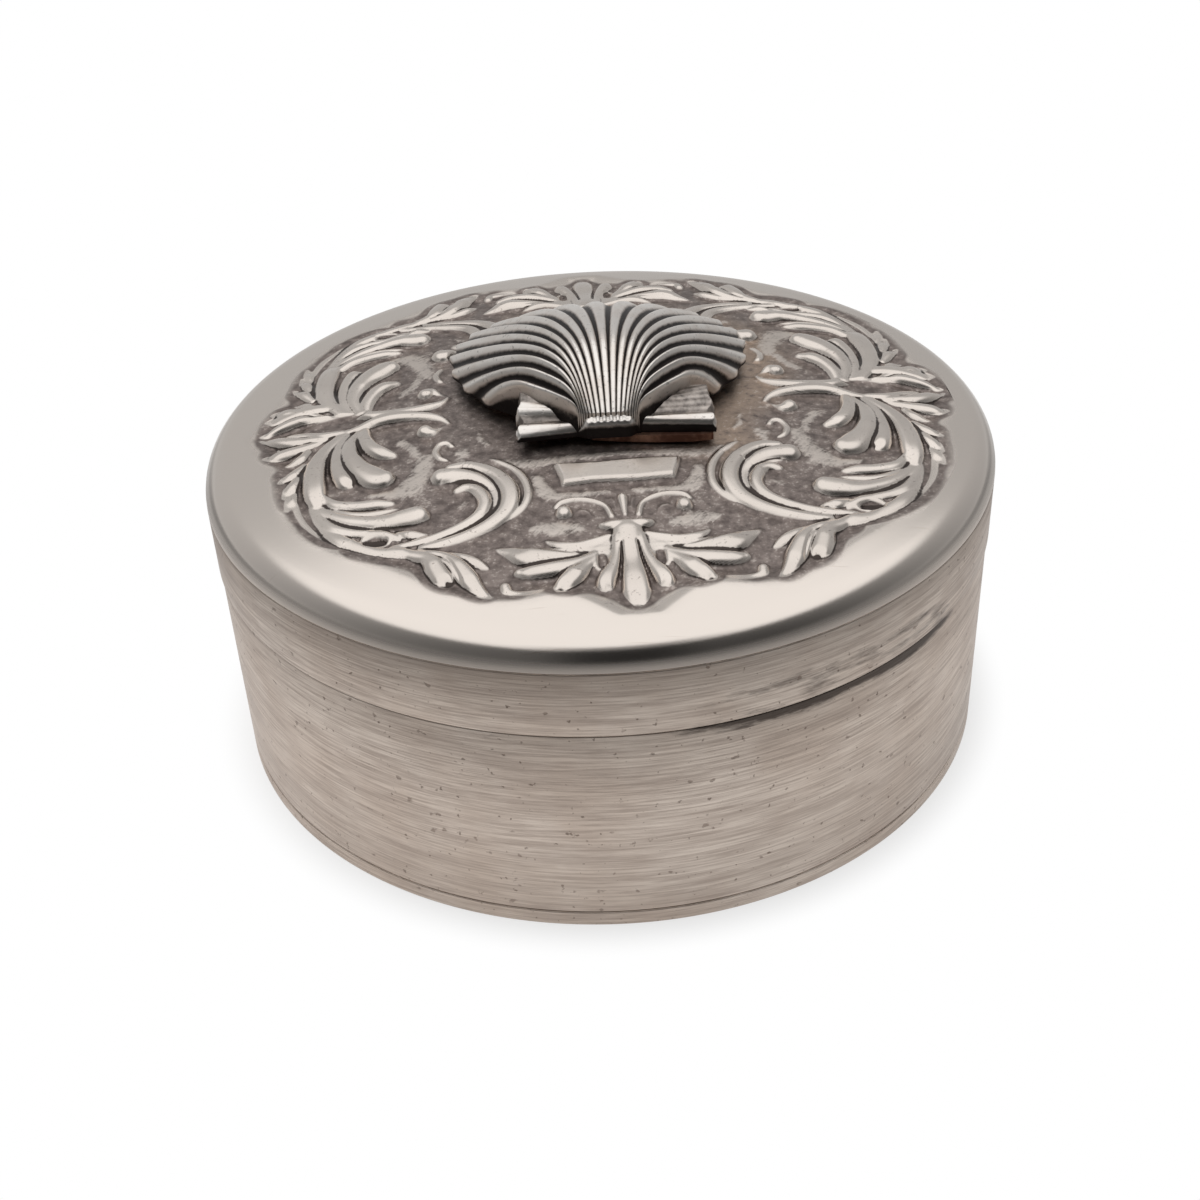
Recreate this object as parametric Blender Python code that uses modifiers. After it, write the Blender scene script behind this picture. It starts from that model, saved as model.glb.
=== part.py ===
"""Small round silver box: a lift-off domed lid with struck scrollwork and a cast scallop shell."""
import math

import bmesh
import bpy
import numpy as np
from mathutils import Vector
from mathutils.geometry import delaunay_2d_cdt

# Driving sizes, in metres.
LID_RADIUS = 0.0250
LID_SHEET = 0.0006
LID_CLEARANCE = 0.0001
COLLAR_SHEET = 0.0005
COLLAR_TOP_CLEARANCE = 0.0004
SOLDER_GAP = 0.00005
BASE_STEP = 0.0001
PLATE_THICKNESS = 0.0010
WALL_HEIGHT = 0.0130
LID_REVEAL = 0.0004
BAND_HEIGHT = 0.0038
SHOULDER_RADIUS = 0.0018
DOME_RADIUS = 0.1450
EDGE_BEVEL = 0.00012

# The struck ornament: its ground lies below the polished border, its scrolls rise from the ground.
RELIEF_SINK = 0.00045
RELIEF_RISE = 0.00080
RELIEF_WALL = 0.0004
ORNAMENT_CLEARANCE = 0.00013
ORNAMENT_SHIFT = 0.00052
ORNAMENT_TURN = math.radians(3.3)

# The cast shell and the copper-coloured plate under it, in the shell's own turn and shift on the lid.
SHELL_TURN = math.radians(1.1)
SHELL_SHIFT = 0.0003
PAD_THICKNESS = 0.0004
PAD_MARGIN = 0.0004
SEAT_RADIUS = 0.0070
SHELL_RADIUS = 0.0092
UMBO_INSET = 0.0004
SHELL_RISE = 0.0043
SHELL_CREST_RUN = 0.0052
SHELL_RIM = 0.0005
UMBO_RISE = 0.0013
UMBO_WIDTH = 0.0034
UMBO_REACH = 0.0058
UMBO_SHIFT = 0.0007
RIB_DEPTH = 0.00042
EAR_WIDTH = 0.0121
EAR_DEPTH = 0.0030
EAR_RISE = 0.0017
KNOB_RADIUS = 0.0008

# How finely the round shapes are drawn.
ROUND_STEPS = 96
SHOULDER_STEPS = 6
DOME_STEPS = 3
RIB_COUNT = 23
CURVE_STEPS = 2
WELD = 0.00001
NEAR = 0.00006

# Struck strokes of one quarter of the lid, as (across, towards the front, width) shares of ORNAMENT_RADIUS.
STROKE_SHARES = {
    "stem": [(0.62, -0.04, 0.03), (0.69, -0.11, 0.045), (0.73, -0.2, 0.05), (0.74, -0.3, 0.05),
        (0.725, -0.39, 0.055), (0.685, -0.48, 0.055), (0.625, -0.55, 0.05), (0.56, -0.605, 0.04)],
    "lobe_b": [(0.725, -0.38, 0.03), (0.68, -0.445, 0.04), (0.61, -0.48, 0.05),
        (0.53, -0.483, 0.06), (0.48, -0.46, 0.06)],
    "rib_out": [(0.58, -0.597, 0.04), (0.52, -0.597, 0.05), (0.44, -0.585, 0.06),
        (0.36, -0.555, 0.065), (0.29, -0.505, 0.07), (0.243, -0.445, 0.07), (0.232, -0.38, 0.07),
        (0.265, -0.323, 0.065), (0.325, -0.293, 0.06), (0.38, -0.298, 0.06), (0.41, -0.325, 0.06)],
    "rib_in": [(0.46, -0.57, 0.02), (0.38, -0.54, 0.035), (0.325, -0.495, 0.043),
        (0.3, -0.44, 0.043), (0.31, -0.393, 0.035), (0.343, -0.375, 0.026), (0.373, -0.39, 0.022)],
    "lobe_d": [(0.645, -0.07, 0.03), (0.636, -0.14, 0.04), (0.61, -0.21, 0.055),
        (0.573, -0.275, 0.068), (0.545, -0.3, 0.04)],
    "lobe_e": [(0.675, -0.1, 0.025), (0.672, -0.18, 0.033), (0.655, -0.245, 0.034),
        (0.635, -0.31, 0.012)],
    "lobe_f": [(0.615, -0.05, 0.025), (0.603, -0.115, 0.033), (0.57, -0.17, 0.033),
        (0.53, -0.2, 0.015)],
    "volute": [(0.625, -0.04, 0.025), (0.575, -0.018, 0.033), (0.515, -0.014, 0.032),
        (0.455, -0.028, 0.025), (0.42, -0.055, 0.012)],
    "ball": [(0.445, -0.082, 0.058), (0.445, -0.09, 0.058)],
    "side1": [(0.66, -0.03, 0.03), (0.74, -0.06, 0.044), (0.82, -0.068, 0.05),
        (0.895, -0.022, 0.02)],
    "side2": [(0.715, -0.07, 0.04), (0.78, -0.09, 0.055), (0.845, -0.132, 0.02)],
    "side3": [(0.735, -0.12, 0.02), (0.78, -0.185, 0.028), (0.806, -0.246, 0.01)],
    "side4": [(0.75, -0.22, 0.02), (0.787, -0.31, 0.032), (0.78, -0.38, 0.026),
        (0.745, -0.445, 0.01)],
    "spray1": [(0.555, -0.61, 0.035), (0.47, -0.65, 0.045), (0.42, -0.693, 0.045),
        (0.408, -0.748, 0.02)],
    "spray2": [(0.52, -0.61, 0.03), (0.425, -0.655, 0.036), (0.37, -0.72, 0.04),
        (0.35, -0.77, 0.038), (0.312, -0.816, 0.012)],
    "bar": [(0, -0.578, 0.03), (0.05, -0.578, 0.03)],
    "tendril": [(0.02, -0.555, 0.016), (0.035, -0.515, 0.016), (0.07, -0.483, 0.016),
        (0.11, -0.474, 0.016), (0.14, -0.49, 0.016)],
    "tball": [(0.133, -0.514, 0.042), (0.133, -0.522, 0.042)],
    "p2": [(0.055, -0.66, 0.03), (0.14, -0.666, 0.045), (0.22, -0.65, 0.045), (0.31, -0.63, 0.012)],
    "p3": [(0.075, -0.698, 0.025), (0.16, -0.706, 0.038), (0.253, -0.722, 0.022)],
    "p4": [(0.078, -0.71, 0.025), (0.128, -0.738, 0.034), (0.156, -0.776, 0.036),
        (0.168, -0.81, 0.014)],
    "centre": [(0, -0.595, 0.065), (0, -0.66, 0.06), (0, -0.72, 0.05), (0, -0.8, 0.045),
        (0, -0.895, 0.008)],
    "clobe": [(0.03, -0.67, 0.03), (0.056, -0.75, 0.038), (0.064, -0.796, 0.04),
        (0.05, -0.826, 0.016)],
}
# The edge of the sunk ground, again as shares of ORNAMENT_RADIUS, from the front tip to the right-hand tip.
OUTLINE_SHARES = [
    (0, -0.905), (0.032, -0.89), (0.064, -0.84), (0.11, -0.824), (0.23, -0.818), (0.29, -0.818),
    (0.32, -0.832), (0.35, -0.812), (0.375, -0.77), (0.426, -0.744), (0.436, -0.704), (0.52, -0.652),
    (0.636, -0.576), (0.69, -0.53), (0.74, -0.47), (0.776, -0.41), (0.8, -0.35), (0.812, -0.21),
    (0.824, -0.16), (0.852, -0.136), (0.88, -0.08), (0.897, -0.032), (0.902, 0)]
ORNAMENT_TIP_SHARE = 0.902
# A stroke is this share of its width high, and never more than RELIEF_RISE.
STROKE_HEIGHT_SHARE = 0.45
# The little blank plaque below the shell: half widths and ends, as shares of ORNAMENT_RADIUS.
PLAQUE_SHARES = [(-0.152, -0.316), (0.152, -0.316), (0.134, -0.42), (-0.134, -0.42)]
PLAQUE_HEIGHT_SHARE = 0.6
# Along a rib, from the umbo to the rim, where its points lie.
RIB_RUN_SHARES = [0, 0.06, 0.14, 0.24, 0.36, 0.52, 0.7, 0.86, 1]
# The ears' section from front to back, as (depth, height) shares of EAR_DEPTH and EAR_RISE.
EAR_SHARES = [(0, 0), (0, 0.45), (0.1, 0.56), (0.24, 0.5), (0.4, 0.36), (0.66, 0.6), (1, 1), (1, 0)]
FAN_SPREAD = math.radians(62)


# Sizes worked out from those above.
COLLAR_RADIUS = LID_RADIUS - LID_SHEET - LID_CLEARANCE
WALL_RADIUS = LID_RADIUS - BASE_STEP
WALL_TOP = PLATE_THICKNESS + SOLDER_GAP + WALL_HEIGHT
LID_BOTTOM = WALL_TOP + LID_REVEAL
BAND_TOP = LID_BOTTOM + BAND_HEIGHT
SHOULDER_BASE = BAND_TOP + SOLDER_GAP
SHOULDER_CENTRE = LID_RADIUS - SHOULDER_RADIUS
ORNAMENT_RADIUS = (SHOULDER_CENTRE - ORNAMENT_SHIFT - ORNAMENT_CLEARANCE) / ORNAMENT_TIP_SHARE
DOME_EDGE = SHOULDER_CENTRE / (1 - SHOULDER_RADIUS / DOME_RADIUS)
DOME_SLOPE = math.asin(DOME_EDGE / DOME_RADIUS)
DOME_CENTRE = SHOULDER_BASE + (SHOULDER_RADIUS - DOME_RADIUS) * math.cos(DOME_SLOPE)
APEX = DOME_CENTRE + DOME_RADIUS
SHELL_CENTRE = SHELL_RADIUS - UMBO_REACH - UMBO_INSET
SEAT_HEIGHT = APEX - RELIEF_SINK
PAD_BASE = SEAT_HEIGHT + SOLDER_GAP
SHELL_BASE = PAD_BASE + PAD_THICKNESS + SOLDER_GAP


def clear_scene():
    for thing in list(bpy.data.objects):
        bpy.data.objects.remove(thing, do_unlink=True)


def make_collection(name):
    collection = bpy.data.collections.new(name)
    bpy.context.scene.collection.children.link(collection)
    return collection


def make_material(name, color, roughness, metallic):
    material = bpy.data.materials.new(name)
    material.use_nodes = True
    shader = material.node_tree.nodes["Principled BSDF"]
    shader.inputs["Base Color"].default_value = (*color, 1)
    shader.inputs["Roughness"].default_value = roughness
    shader.inputs["Metallic"].default_value = metallic
    return material


def add_object(name, mesh, collection, material=None):
    made = bpy.data.objects.new(name, mesh)
    collection.objects.link(made)
    if material:
        mesh.materials.clear()
        mesh.materials.append(material)
    return made


def mesh_from_bmesh(name, bm):
    bmesh.ops.remove_doubles(bm, verts=bm.verts, dist=WELD)
    bmesh.ops.recalc_face_normals(bm, faces=bm.faces)
    mesh = bpy.data.meshes.new(name)
    bm.to_mesh(mesh)
    bm.free()
    mesh.shade_smooth()
    mesh.set_sharp_from_angle(angle=math.radians(35))
    return mesh


def turned(name, profile, closed=True):
    """Turns (radius, height) points about Z; the points run down the outer side."""
    mesh = bpy.data.meshes.new(name)
    edges = [(i, i + 1) for i in range(len(profile) - 1)]
    if closed:
        edges.append((len(profile) - 1, 0))
    mesh.from_pydata([(r, 0, z) for r, z in profile], edges, [])
    holder = bpy.data.objects.new(name, mesh)
    bpy.context.scene.collection.objects.link(holder)
    screw = holder.modifiers.new("turn", 'SCREW')
    screw.steps = ROUND_STEPS
    screw.render_steps = ROUND_STEPS
    screw.use_merge_vertices = True
    screw.merge_threshold = WELD
    graph = bpy.context.evaluated_depsgraph_get()
    made = bpy.data.meshes.new_from_object(holder.evaluated_get(graph))
    bpy.data.objects.remove(holder, do_unlink=True)
    bm = bmesh.new()
    bm.from_mesh(made)
    return bm


def ring_wall(inner, outer, low, high, bevel=0):
    """The profile of a straight ring; a bevel breaks its outer edges."""
    return [(outer - bevel, high), (outer, high - bevel), (outer, low + bevel), (outer - bevel, low),
            (inner, low), (inner, high)]


def dome_height(radius):
    return DOME_CENTRE + np.sqrt(DOME_RADIUS ** 2 - radius ** 2)


def smooth_points(points, steps=CURVE_STEPS):
    """Puts points between the given ones on a smooth curve through them."""
    pts = np.array(points, float)
    ends = np.vstack([2 * pts[0] - pts[1], pts, 2 * pts[-1] - pts[-2]])
    out = []
    for i in range(len(pts) - 1):
        a, b, c, d = ends[i:i + 4]
        for k in range(steps):
            t = k / steps
            out.append((2 * b + (c - a) * t + (2 * a - 5 * b + 4 * c - d) * t ** 2
                        + (3 * b - a - 3 * c + d) * t ** 3) / 2)
    out.append(pts[-1])
    return np.array(out)


def quarters(points):
    """The four mirror images of a row of points in the ornament's frame; a stroke on the axis has two."""
    signs = [(1, 1), (1, -1)]
    if np.abs(points[:, 0]).max() > WELD:
        signs += [(-1, 1), (-1, -1)]
    for sx, sy in signs:
        copy = points.copy()
        copy[:, 0] *= sx
        copy[:, 1] *= sy
        yield copy


def to_lid(points, turn=ORNAMENT_TURN, shift=ORNAMENT_SHIFT):
    """Turns and shifts points from the ornament's frame, or the shell's, to the lid's."""
    c, s = math.cos(turn), math.sin(turn)
    return np.stack([points[:, 0] * c - points[:, 1] * s + shift, points[:, 0] * s + points[:, 1] * c], 1)


def to_ornament(points):
    c, s = math.cos(ORNAMENT_TURN), math.sin(ORNAMENT_TURN)
    x, y = points[:, 0] - ORNAMENT_SHIFT, points[:, 1]
    return np.stack([x * c + y * s, y * c - x * s], 1)


def shell_to_ornament(points):
    return to_ornament(to_lid(points, SHELL_TURN, SHELL_SHIFT))


def all_strokes():
    strokes = []
    for points in STROKE_SHARES.values():
        scaled = smooth_points(points) * ORNAMENT_RADIUS
        strokes.extend(quarters(scaled))
    return strokes


def ground_outline():
    """The closed edge of the sunk ground, in the ornament's frame."""
    quarter = np.array(OUTLINE_SHARES) * ORNAMENT_RADIUS
    flip_x, flip_y = np.array([-1, 1]), np.array([1, -1])
    right = np.vstack([quarter, (quarter * flip_y)[::-1][1:]])
    left = (right * flip_x)[::-1][1:-1]
    return np.vstack([right, left])


def pad_outline(margin):
    """The plan of the plate under the shell: a round with a bar across its front."""
    radius = SHELL_RADIUS - margin
    half = EAR_WIDTH / 2 - margin
    front = -UMBO_REACH - margin
    start = math.asin(half / radius)
    turns = np.linspace(start, 2 * math.pi - start, ROUND_STEPS // 2)
    arc = [(-radius * math.sin(a), SHELL_CENTRE - radius * math.cos(a)) for a in turns]
    bar = [(UMBO_SHIFT - half, front), (UMBO_SHIFT + half, front)]
    return np.array(bar + arc[::-1])


def to_segments(points, loop):
    """Distance and place along the nearest piece of a line, for every point."""
    start = loop[:-1]
    run = loop[1:] - start
    length = np.maximum((run ** 2).sum(1), WELD ** 2)
    gap = points[:, None, :] - start[None, :, :]
    place = np.clip((gap * run[None]).sum(2) / length[None], 0, 1)
    dist = np.sqrt(((gap - place[..., None] * run[None]) ** 2).sum(2))
    return dist, place


def depth_inside(points, loop):
    """How far each point lies inside a closed outline; outside it the number is negative."""
    closed = np.vstack([loop, loop[:1]])
    dist, place = to_segments(points, closed)
    a, b = closed[:-1], closed[1:]
    above = (a[None, :, 1] > points[:, None, 1]) != (b[None, :, 1] > points[:, None, 1])
    rise = np.where(b[:, 1] == a[:, 1], WELD, b[:, 1] - a[:, 1])
    cross = (b[:, 0] - a[:, 0])[None] * (points[:, None, 1] - a[None, :, 1]) / rise[None] + a[None, :, 0]
    inside = (above & (points[:, None, 0] < cross)).sum(1) % 2 == 1
    return np.where(inside, dist.min(1), -dist.min(1))


def relief_height(points, strokes, outline, pad, plaque):
    """Height of the struck surface above or below the plain dome, for points in the ornament's frame."""
    rise = np.zeros(len(points))
    for stroke in strokes:
        dist, place = to_segments(points, stroke[:, :2])
        width = stroke[None, :-1, 2] * (1 - place) + stroke[None, 1:, 2] * place
        across = np.clip(2 * dist / width, 0, 1)
        height = np.minimum(width * STROKE_HEIGHT_SHARE, RELIEF_RISE)
        rise = np.maximum(rise, (height * np.sqrt(1 - across ** 2)).max(1))
    plaque_in = np.clip(depth_inside(points, plaque) / RELIEF_WALL, 0, 1)
    rise = np.maximum(rise, plaque_in * RELIEF_RISE * PLAQUE_HEIGHT_SHARE)
    ground = np.clip(depth_inside(points, outline) / RELIEF_WALL, 0, 1)
    fade = np.clip(-depth_inside(points, pad) / RELIEF_WALL, 0, 1)
    return ground * (rise * fade - RELIEF_SINK)


def stroke_edges(stroke):
    """The ridge of a stroke and the two lines where its sides meet the ground."""
    along = np.gradient(stroke[:, :2], axis=0)
    length = np.maximum(np.hypot(along[:, 0], along[:, 1]), WELD)
    side = np.stack([-along[:, 1], along[:, 0]], 1) / length[:, None]
    half = stroke[:, 2:3] / 2
    ridge = stroke[:, :2]
    return ridge, ridge + side * half, ridge - side * half


def struck_panel():
    """The top face of the lid inside its shoulder, drawn through the lines of the ornament."""
    strokes = all_strokes()
    outline = ground_outline()
    pad = shell_to_ornament(pad_outline(-PAD_MARGIN))
    plaque = np.array(PLAQUE_SHARES) * ORNAMENT_RADIUS
    lines = []
    for stroke in strokes:
        for line in stroke_edges(stroke):
            keep = depth_inside(line, pad) < 0
            runs = np.split(np.arange(len(line)), np.where(np.diff(keep.astype(int)))[0] + 1)
            lines += [(line[run], False) for run in runs if keep[run[0]] and len(run) > 1]
    inner = outline * (1 - RELIEF_WALL / ORNAMENT_RADIUS * 2)
    seat = np.array([(SEAT_RADIUS * math.cos(a), SHELL_CENTRE + SEAT_RADIUS * math.sin(a))
                     for a in np.linspace(0, 2 * math.pi, ROUND_STEPS // 2, endpoint=False)])
    plaque_top = plaque.mean(0) + (plaque - plaque.mean(0)) * (1 - RELIEF_WALL / np.abs(plaque[0, 0]))
    for loop in (outline, inner, shell_to_ornament(pad_outline(0)), shell_to_ornament(seat), plaque, plaque_top):
        lines.append((loop, True))
    turns = 2 * math.pi * np.arange(ROUND_STEPS) / ROUND_STEPS
    rim = np.stack([SHOULDER_CENTRE * np.cos(turns), SHOULDER_CENTRE * np.sin(turns)], 1)
    places = [Vector(p) for p in rim]
    edges = [(i, (i + 1) % ROUND_STEPS) for i in range(ROUND_STEPS)]
    for line, closed in lines:
        first = len(places)
        places += [Vector(p) for p in to_lid(line)]
        edges += [(first + i, first + i + 1) for i in range(len(line) - 1)]
        if closed:
            edges.append((len(places) - 1, first))
    verts, _, faces, _, _, _ = delaunay_2d_cdt(places, edges, [list(range(ROUND_STEPS))], 1, NEAR)
    flat = np.array([tuple(v) for v in verts])
    local = to_ornament(flat)
    lift = relief_height(local, strokes, outline, pad, plaque)
    radius = np.hypot(flat[:, 0], flat[:, 1])
    height = dome_height(radius) + lift
    seat_middle = to_lid(np.array([(0, SHELL_CENTRE)]), SHELL_TURN, SHELL_SHIFT)[0]
    on_seat = np.hypot(flat[:, 0] - seat_middle[0], flat[:, 1] - seat_middle[1]) <= SEAT_RADIUS + WELD
    height[on_seat] = SEAT_HEIGHT
    bm = bmesh.new()
    made = [bm.verts.new((x, y, z)) for (x, y), z in zip(flat, height)]
    for face in faces:
        bm.faces.new([made[i] for i in face])
    return bm


def lid_top_mesh():
    """The domed plate: a turned shoulder and underside, closed by the struck panel."""
    inner_radius = SHOULDER_RADIUS - LID_SHEET
    turns = np.linspace(DOME_SLOPE, math.pi / 2, SHOULDER_STEPS)
    outer = [(SHOULDER_CENTRE + SHOULDER_RADIUS * math.sin(a), SHOULDER_BASE + SHOULDER_RADIUS * math.cos(a))
             for a in turns]
    inner = [(SHOULDER_CENTRE + inner_radius * math.sin(a), SHOULDER_BASE + inner_radius * math.cos(a))
             for a in turns[::-1]]
    back_edge = SHOULDER_CENTRE - RELIEF_WALL
    under = [(r, dome_height(r) - LID_SHEET - RELIEF_SINK) for r in np.linspace(back_edge, 0, DOME_STEPS + 1)]
    start = [(SHOULDER_CENTRE, float(dome_height(SHOULDER_CENTRE)))]
    bm = turned("lid_top_turned", start + outer + inner + under, closed=False)
    panel = struck_panel()
    piece = bpy.data.meshes.new("panel")
    panel.to_mesh(piece)
    panel.free()
    bm.from_mesh(piece)
    bpy.data.meshes.remove(piece)
    return mesh_from_bmesh("lid_top", bm)


def fan_point(share, run, ridge):
    """A point of the shell's fan: share runs from -1 to 1 across it, run from 0 at the umbo to 1 at the rim."""
    turn = share * FAN_SPREAD
    start = Vector((UMBO_SHIFT + share * UMBO_WIDTH / 2, -UMBO_REACH))
    way = Vector((math.sin(turn), math.cos(turn)))
    centre = Vector((0, SHELL_CENTRE))
    gap = start - centre
    along = gap.dot(way)
    reach = -along + math.sqrt(along ** 2 - gap.length_squared + SHELL_RADIUS ** 2)
    place = start + way * (reach * run)
    crest = SHELL_RISE * (1 - abs(share) ** 6 / 2)
    far = reach * run
    if far < SHELL_CREST_RUN:
        height = UMBO_RISE + (crest - UMBO_RISE) * (1 - (1 - far / SHELL_CREST_RUN) ** 2.2)
    else:
        fall = (far - SHELL_CREST_RUN) / (reach - SHELL_CREST_RUN)
        height = crest + (SHELL_RIM - crest) * fall ** 2.1
    if not ridge:
        height -= min(RIB_DEPTH, height / 2)
    return Vector((place.x, place.y, height))


def fan_mesh():
    """The ribbed fan: a loft of ridges and grooves from the umbo to the rim, flat below."""
    columns = 2 * RIB_COUNT - 1
    bm = bmesh.new()
    top = []
    low = []
    for run in RIB_RUN_SHARES:
        upper = [bm.verts.new(fan_point(2 * j / (columns - 1) - 1, run, j % 2 == 0)) for j in range(columns)]
        top.append(upper)
    for i in range(len(top) - 1):
        for j in range(columns - 1):
            bm.faces.new((top[i][j], top[i][j + 1], top[i + 1][j + 1], top[i + 1][j]))
    edge = top[0] + [row[-1] for row in top[1:]] + top[-1][:-1][::-1] + [row[0] for row in top[1:-1]][::-1]
    low = [bm.verts.new((v.co.x, v.co.y, 0)) for v in edge]
    for k in range(len(edge)):
        after = (k + 1) % len(edge)
        bm.faces.new((edge[k], edge[after], low[after], low[k]))
    bm.faces.new(low)
    return mesh_from_bmesh("fan", bm)


def flat_solid(name, outline, low, high):
    """A flat plate: a filled 2D curve, extruded by half its thickness each way."""
    curve = bpy.data.curves.new(name, 'CURVE')
    curve.dimensions = '2D'
    curve.fill_mode = 'BOTH'
    curve.extrude = (high - low) / 2
    line = curve.splines.new('POLY')
    line.points.add(len(outline) - 1)
    for point, (x, y) in zip(line.points, outline):
        point.co = (x, y, 0, 1)
    line.use_cyclic_u = True
    holder = bpy.data.objects.new(name, curve)
    bpy.context.scene.collection.objects.link(holder)
    graph = bpy.context.evaluated_depsgraph_get()
    mesh = bpy.data.meshes.new_from_object(holder.evaluated_get(graph))
    bpy.data.objects.remove(holder, do_unlink=True)
    bm = bmesh.new()
    bm.from_mesh(mesh)
    bmesh.ops.translate(bm, verts=bm.verts, vec=(0, 0, (high + low) / 2))
    return mesh_from_bmesh(name, bm)


def unite(target, other):
    """Joins a helper piece to a part with a Boolean; the helper stays as a hidden cutter."""
    other.hide_render = True
    other.display_type = 'WIRE'
    join = target.modifiers.new("join", 'BOOLEAN')
    join.operation = 'UNION'
    join.solver = 'EXACT'
    join.object = other


def place_on_lid(thing, axis, height):
    thing.parent = axis
    thing.location = (SHELL_SHIFT, 0, height)
    thing.rotation_euler = (0, 0, SHELL_TURN)


def build_shell(parts, cutters, axis, silver):
    shell = add_object("shell", fan_mesh(), parts, silver)
    section = [(depth * EAR_DEPTH, height * EAR_RISE) for depth, height in EAR_SHARES]
    bar = flat_solid("ears", section, -EAR_WIDTH / 2, EAR_WIDTH / 2)
    # The section is drawn in X and Y; X becomes the way to the back, Y up, and the bar's length lies across.
    for vert in bar.vertices:
        vert.co = (vert.co.z + UMBO_SHIFT, vert.co.x - UMBO_REACH - KNOB_RADIUS / 2, vert.co.y)
    ears = add_object("ears", bar, cutters)
    place_on_lid(ears, axis, SHELL_BASE)
    bpy.ops.mesh.primitive_uv_sphere_add(segments=12, ring_count=8, radius=KNOB_RADIUS)
    knob = bpy.context.active_object
    knob.name = "knob"
    for home in list(knob.users_collection):
        home.objects.unlink(knob)
    cutters.objects.link(knob)
    for vert in knob.data.vertices:
        vert.co.x += UMBO_SHIFT
        vert.co.y -= UMBO_REACH
        vert.co.z += KNOB_RADIUS + WELD
    place_on_lid(knob, axis, SHELL_BASE)
    place_on_lid(shell, axis, SHELL_BASE)
    unite(shell, ears)
    unite(shell, knob)


def build():
    clear_scene()
    parts = make_collection("silver_box")
    cutters = make_collection("cutters")
    silver = ((0.62, 0.58, 0.54), 0.35, 1)
    axis = bpy.data.objects.new("lid_axis", None)
    parts.objects.link(axis)

    plate = turned("base_plate", [(0, PLATE_THICKNESS), (WALL_RADIUS - EDGE_BEVEL, PLATE_THICKNESS),
                                  (WALL_RADIUS, PLATE_THICKNESS - EDGE_BEVEL), (WALL_RADIUS, EDGE_BEVEL),
                                  (WALL_RADIUS - EDGE_BEVEL, 0), (0, 0)], closed=False)
    add_object("base_plate", mesh_from_bmesh("base_plate", plate), parts, make_material("plate", *silver))

    wall_inner = COLLAR_RADIUS + SOLDER_GAP
    foot = PLATE_THICKNESS + SOLDER_GAP
    wall = turned("base_wall", ring_wall(wall_inner, WALL_RADIUS, foot, WALL_TOP, EDGE_BEVEL))
    add_object("base_wall", mesh_from_bmesh("base_wall", wall), parts, make_material("wall", *silver))

    collar_top = BAND_TOP - COLLAR_TOP_CLEARANCE
    collar_profile = ring_wall(COLLAR_RADIUS - COLLAR_SHEET, COLLAR_RADIUS, foot, collar_top, EDGE_BEVEL)
    collar = turned("base_collar", collar_profile)
    dark = make_material("collar", (0.20, 0.17, 0.15), 0.5, 1)
    add_object("base_collar", mesh_from_bmesh("base_collar", collar), parts, dark)

    band = turned("lid_band", ring_wall(LID_RADIUS - LID_SHEET, LID_RADIUS, LID_BOTTOM, BAND_TOP))
    lid_band = add_object("lid_band", mesh_from_bmesh("lid_band", band), parts, make_material("band", *silver))
    lid_band.parent = axis

    lid_top = add_object("lid_top", lid_top_mesh(), parts, make_material("struck", (0.5, 0.46, 0.43), 0.4, 1))
    lid_top.parent = axis

    copper = make_material("copper", (0.45, 0.26, 0.18), 0.5, 1)
    plan = pad_outline(PAD_MARGIN)
    pad = add_object("shell_pad", flat_solid("shell_pad", plan, 0, PAD_THICKNESS), parts, copper)
    place_on_lid(pad, axis, PAD_BASE)

    build_shell(parts, cutters, axis, make_material("cast", *silver))
    bpy.context.view_layer.update()


build()
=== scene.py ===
import math

import bpy
import numpy as np
from mathutils import Matrix, Vector


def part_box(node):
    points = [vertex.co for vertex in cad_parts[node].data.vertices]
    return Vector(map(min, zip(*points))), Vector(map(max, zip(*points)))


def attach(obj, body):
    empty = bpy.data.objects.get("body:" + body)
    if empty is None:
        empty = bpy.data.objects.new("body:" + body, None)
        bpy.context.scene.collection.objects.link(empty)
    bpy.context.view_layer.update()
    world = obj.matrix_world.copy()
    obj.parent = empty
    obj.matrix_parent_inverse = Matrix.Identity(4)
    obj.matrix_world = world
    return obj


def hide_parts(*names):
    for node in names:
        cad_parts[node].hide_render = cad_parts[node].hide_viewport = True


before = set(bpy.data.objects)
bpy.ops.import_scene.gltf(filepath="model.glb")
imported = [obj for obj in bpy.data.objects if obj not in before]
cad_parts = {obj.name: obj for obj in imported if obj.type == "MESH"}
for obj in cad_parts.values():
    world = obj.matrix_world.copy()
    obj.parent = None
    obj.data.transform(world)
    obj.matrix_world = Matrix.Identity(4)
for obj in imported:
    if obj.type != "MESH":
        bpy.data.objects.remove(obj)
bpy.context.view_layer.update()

MM = 0.001
TINY = 1e-9

# The box's own sizes, read from the frame, in metres.
BAND_LOW, BAND_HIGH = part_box("lid_band")
WALL_LOW, WALL_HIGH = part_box("base_wall")
COLLAR_LOW, COLLAR_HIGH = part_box("base_collar")
PAD_LOW, PAD_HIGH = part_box("shell_pad")
PLATE_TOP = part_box("base_plate")[1][2]
SHOULDER_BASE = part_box("lid_top")[0][2]
SHELL_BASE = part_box("shell")[0][2]
# The lid that is seen stays a hair inside the solid one.
LID_RADIUS = BAND_HIGH[0] - 0.001 * MM
WALL_RADIUS = WALL_HIGH[0]
COLLAR_RADIUS = COLLAR_HIGH[0]
LID_SHEET = 0.6 * MM
WALL_SHEET = 0.55 * MM
COLLAR_SHEET = 0.5 * MM
EDGE = 0.1 * MM
# The band that is seen reaches this far down into the gap over the wall.
BAND_LIP = 0.36 * MM

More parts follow.
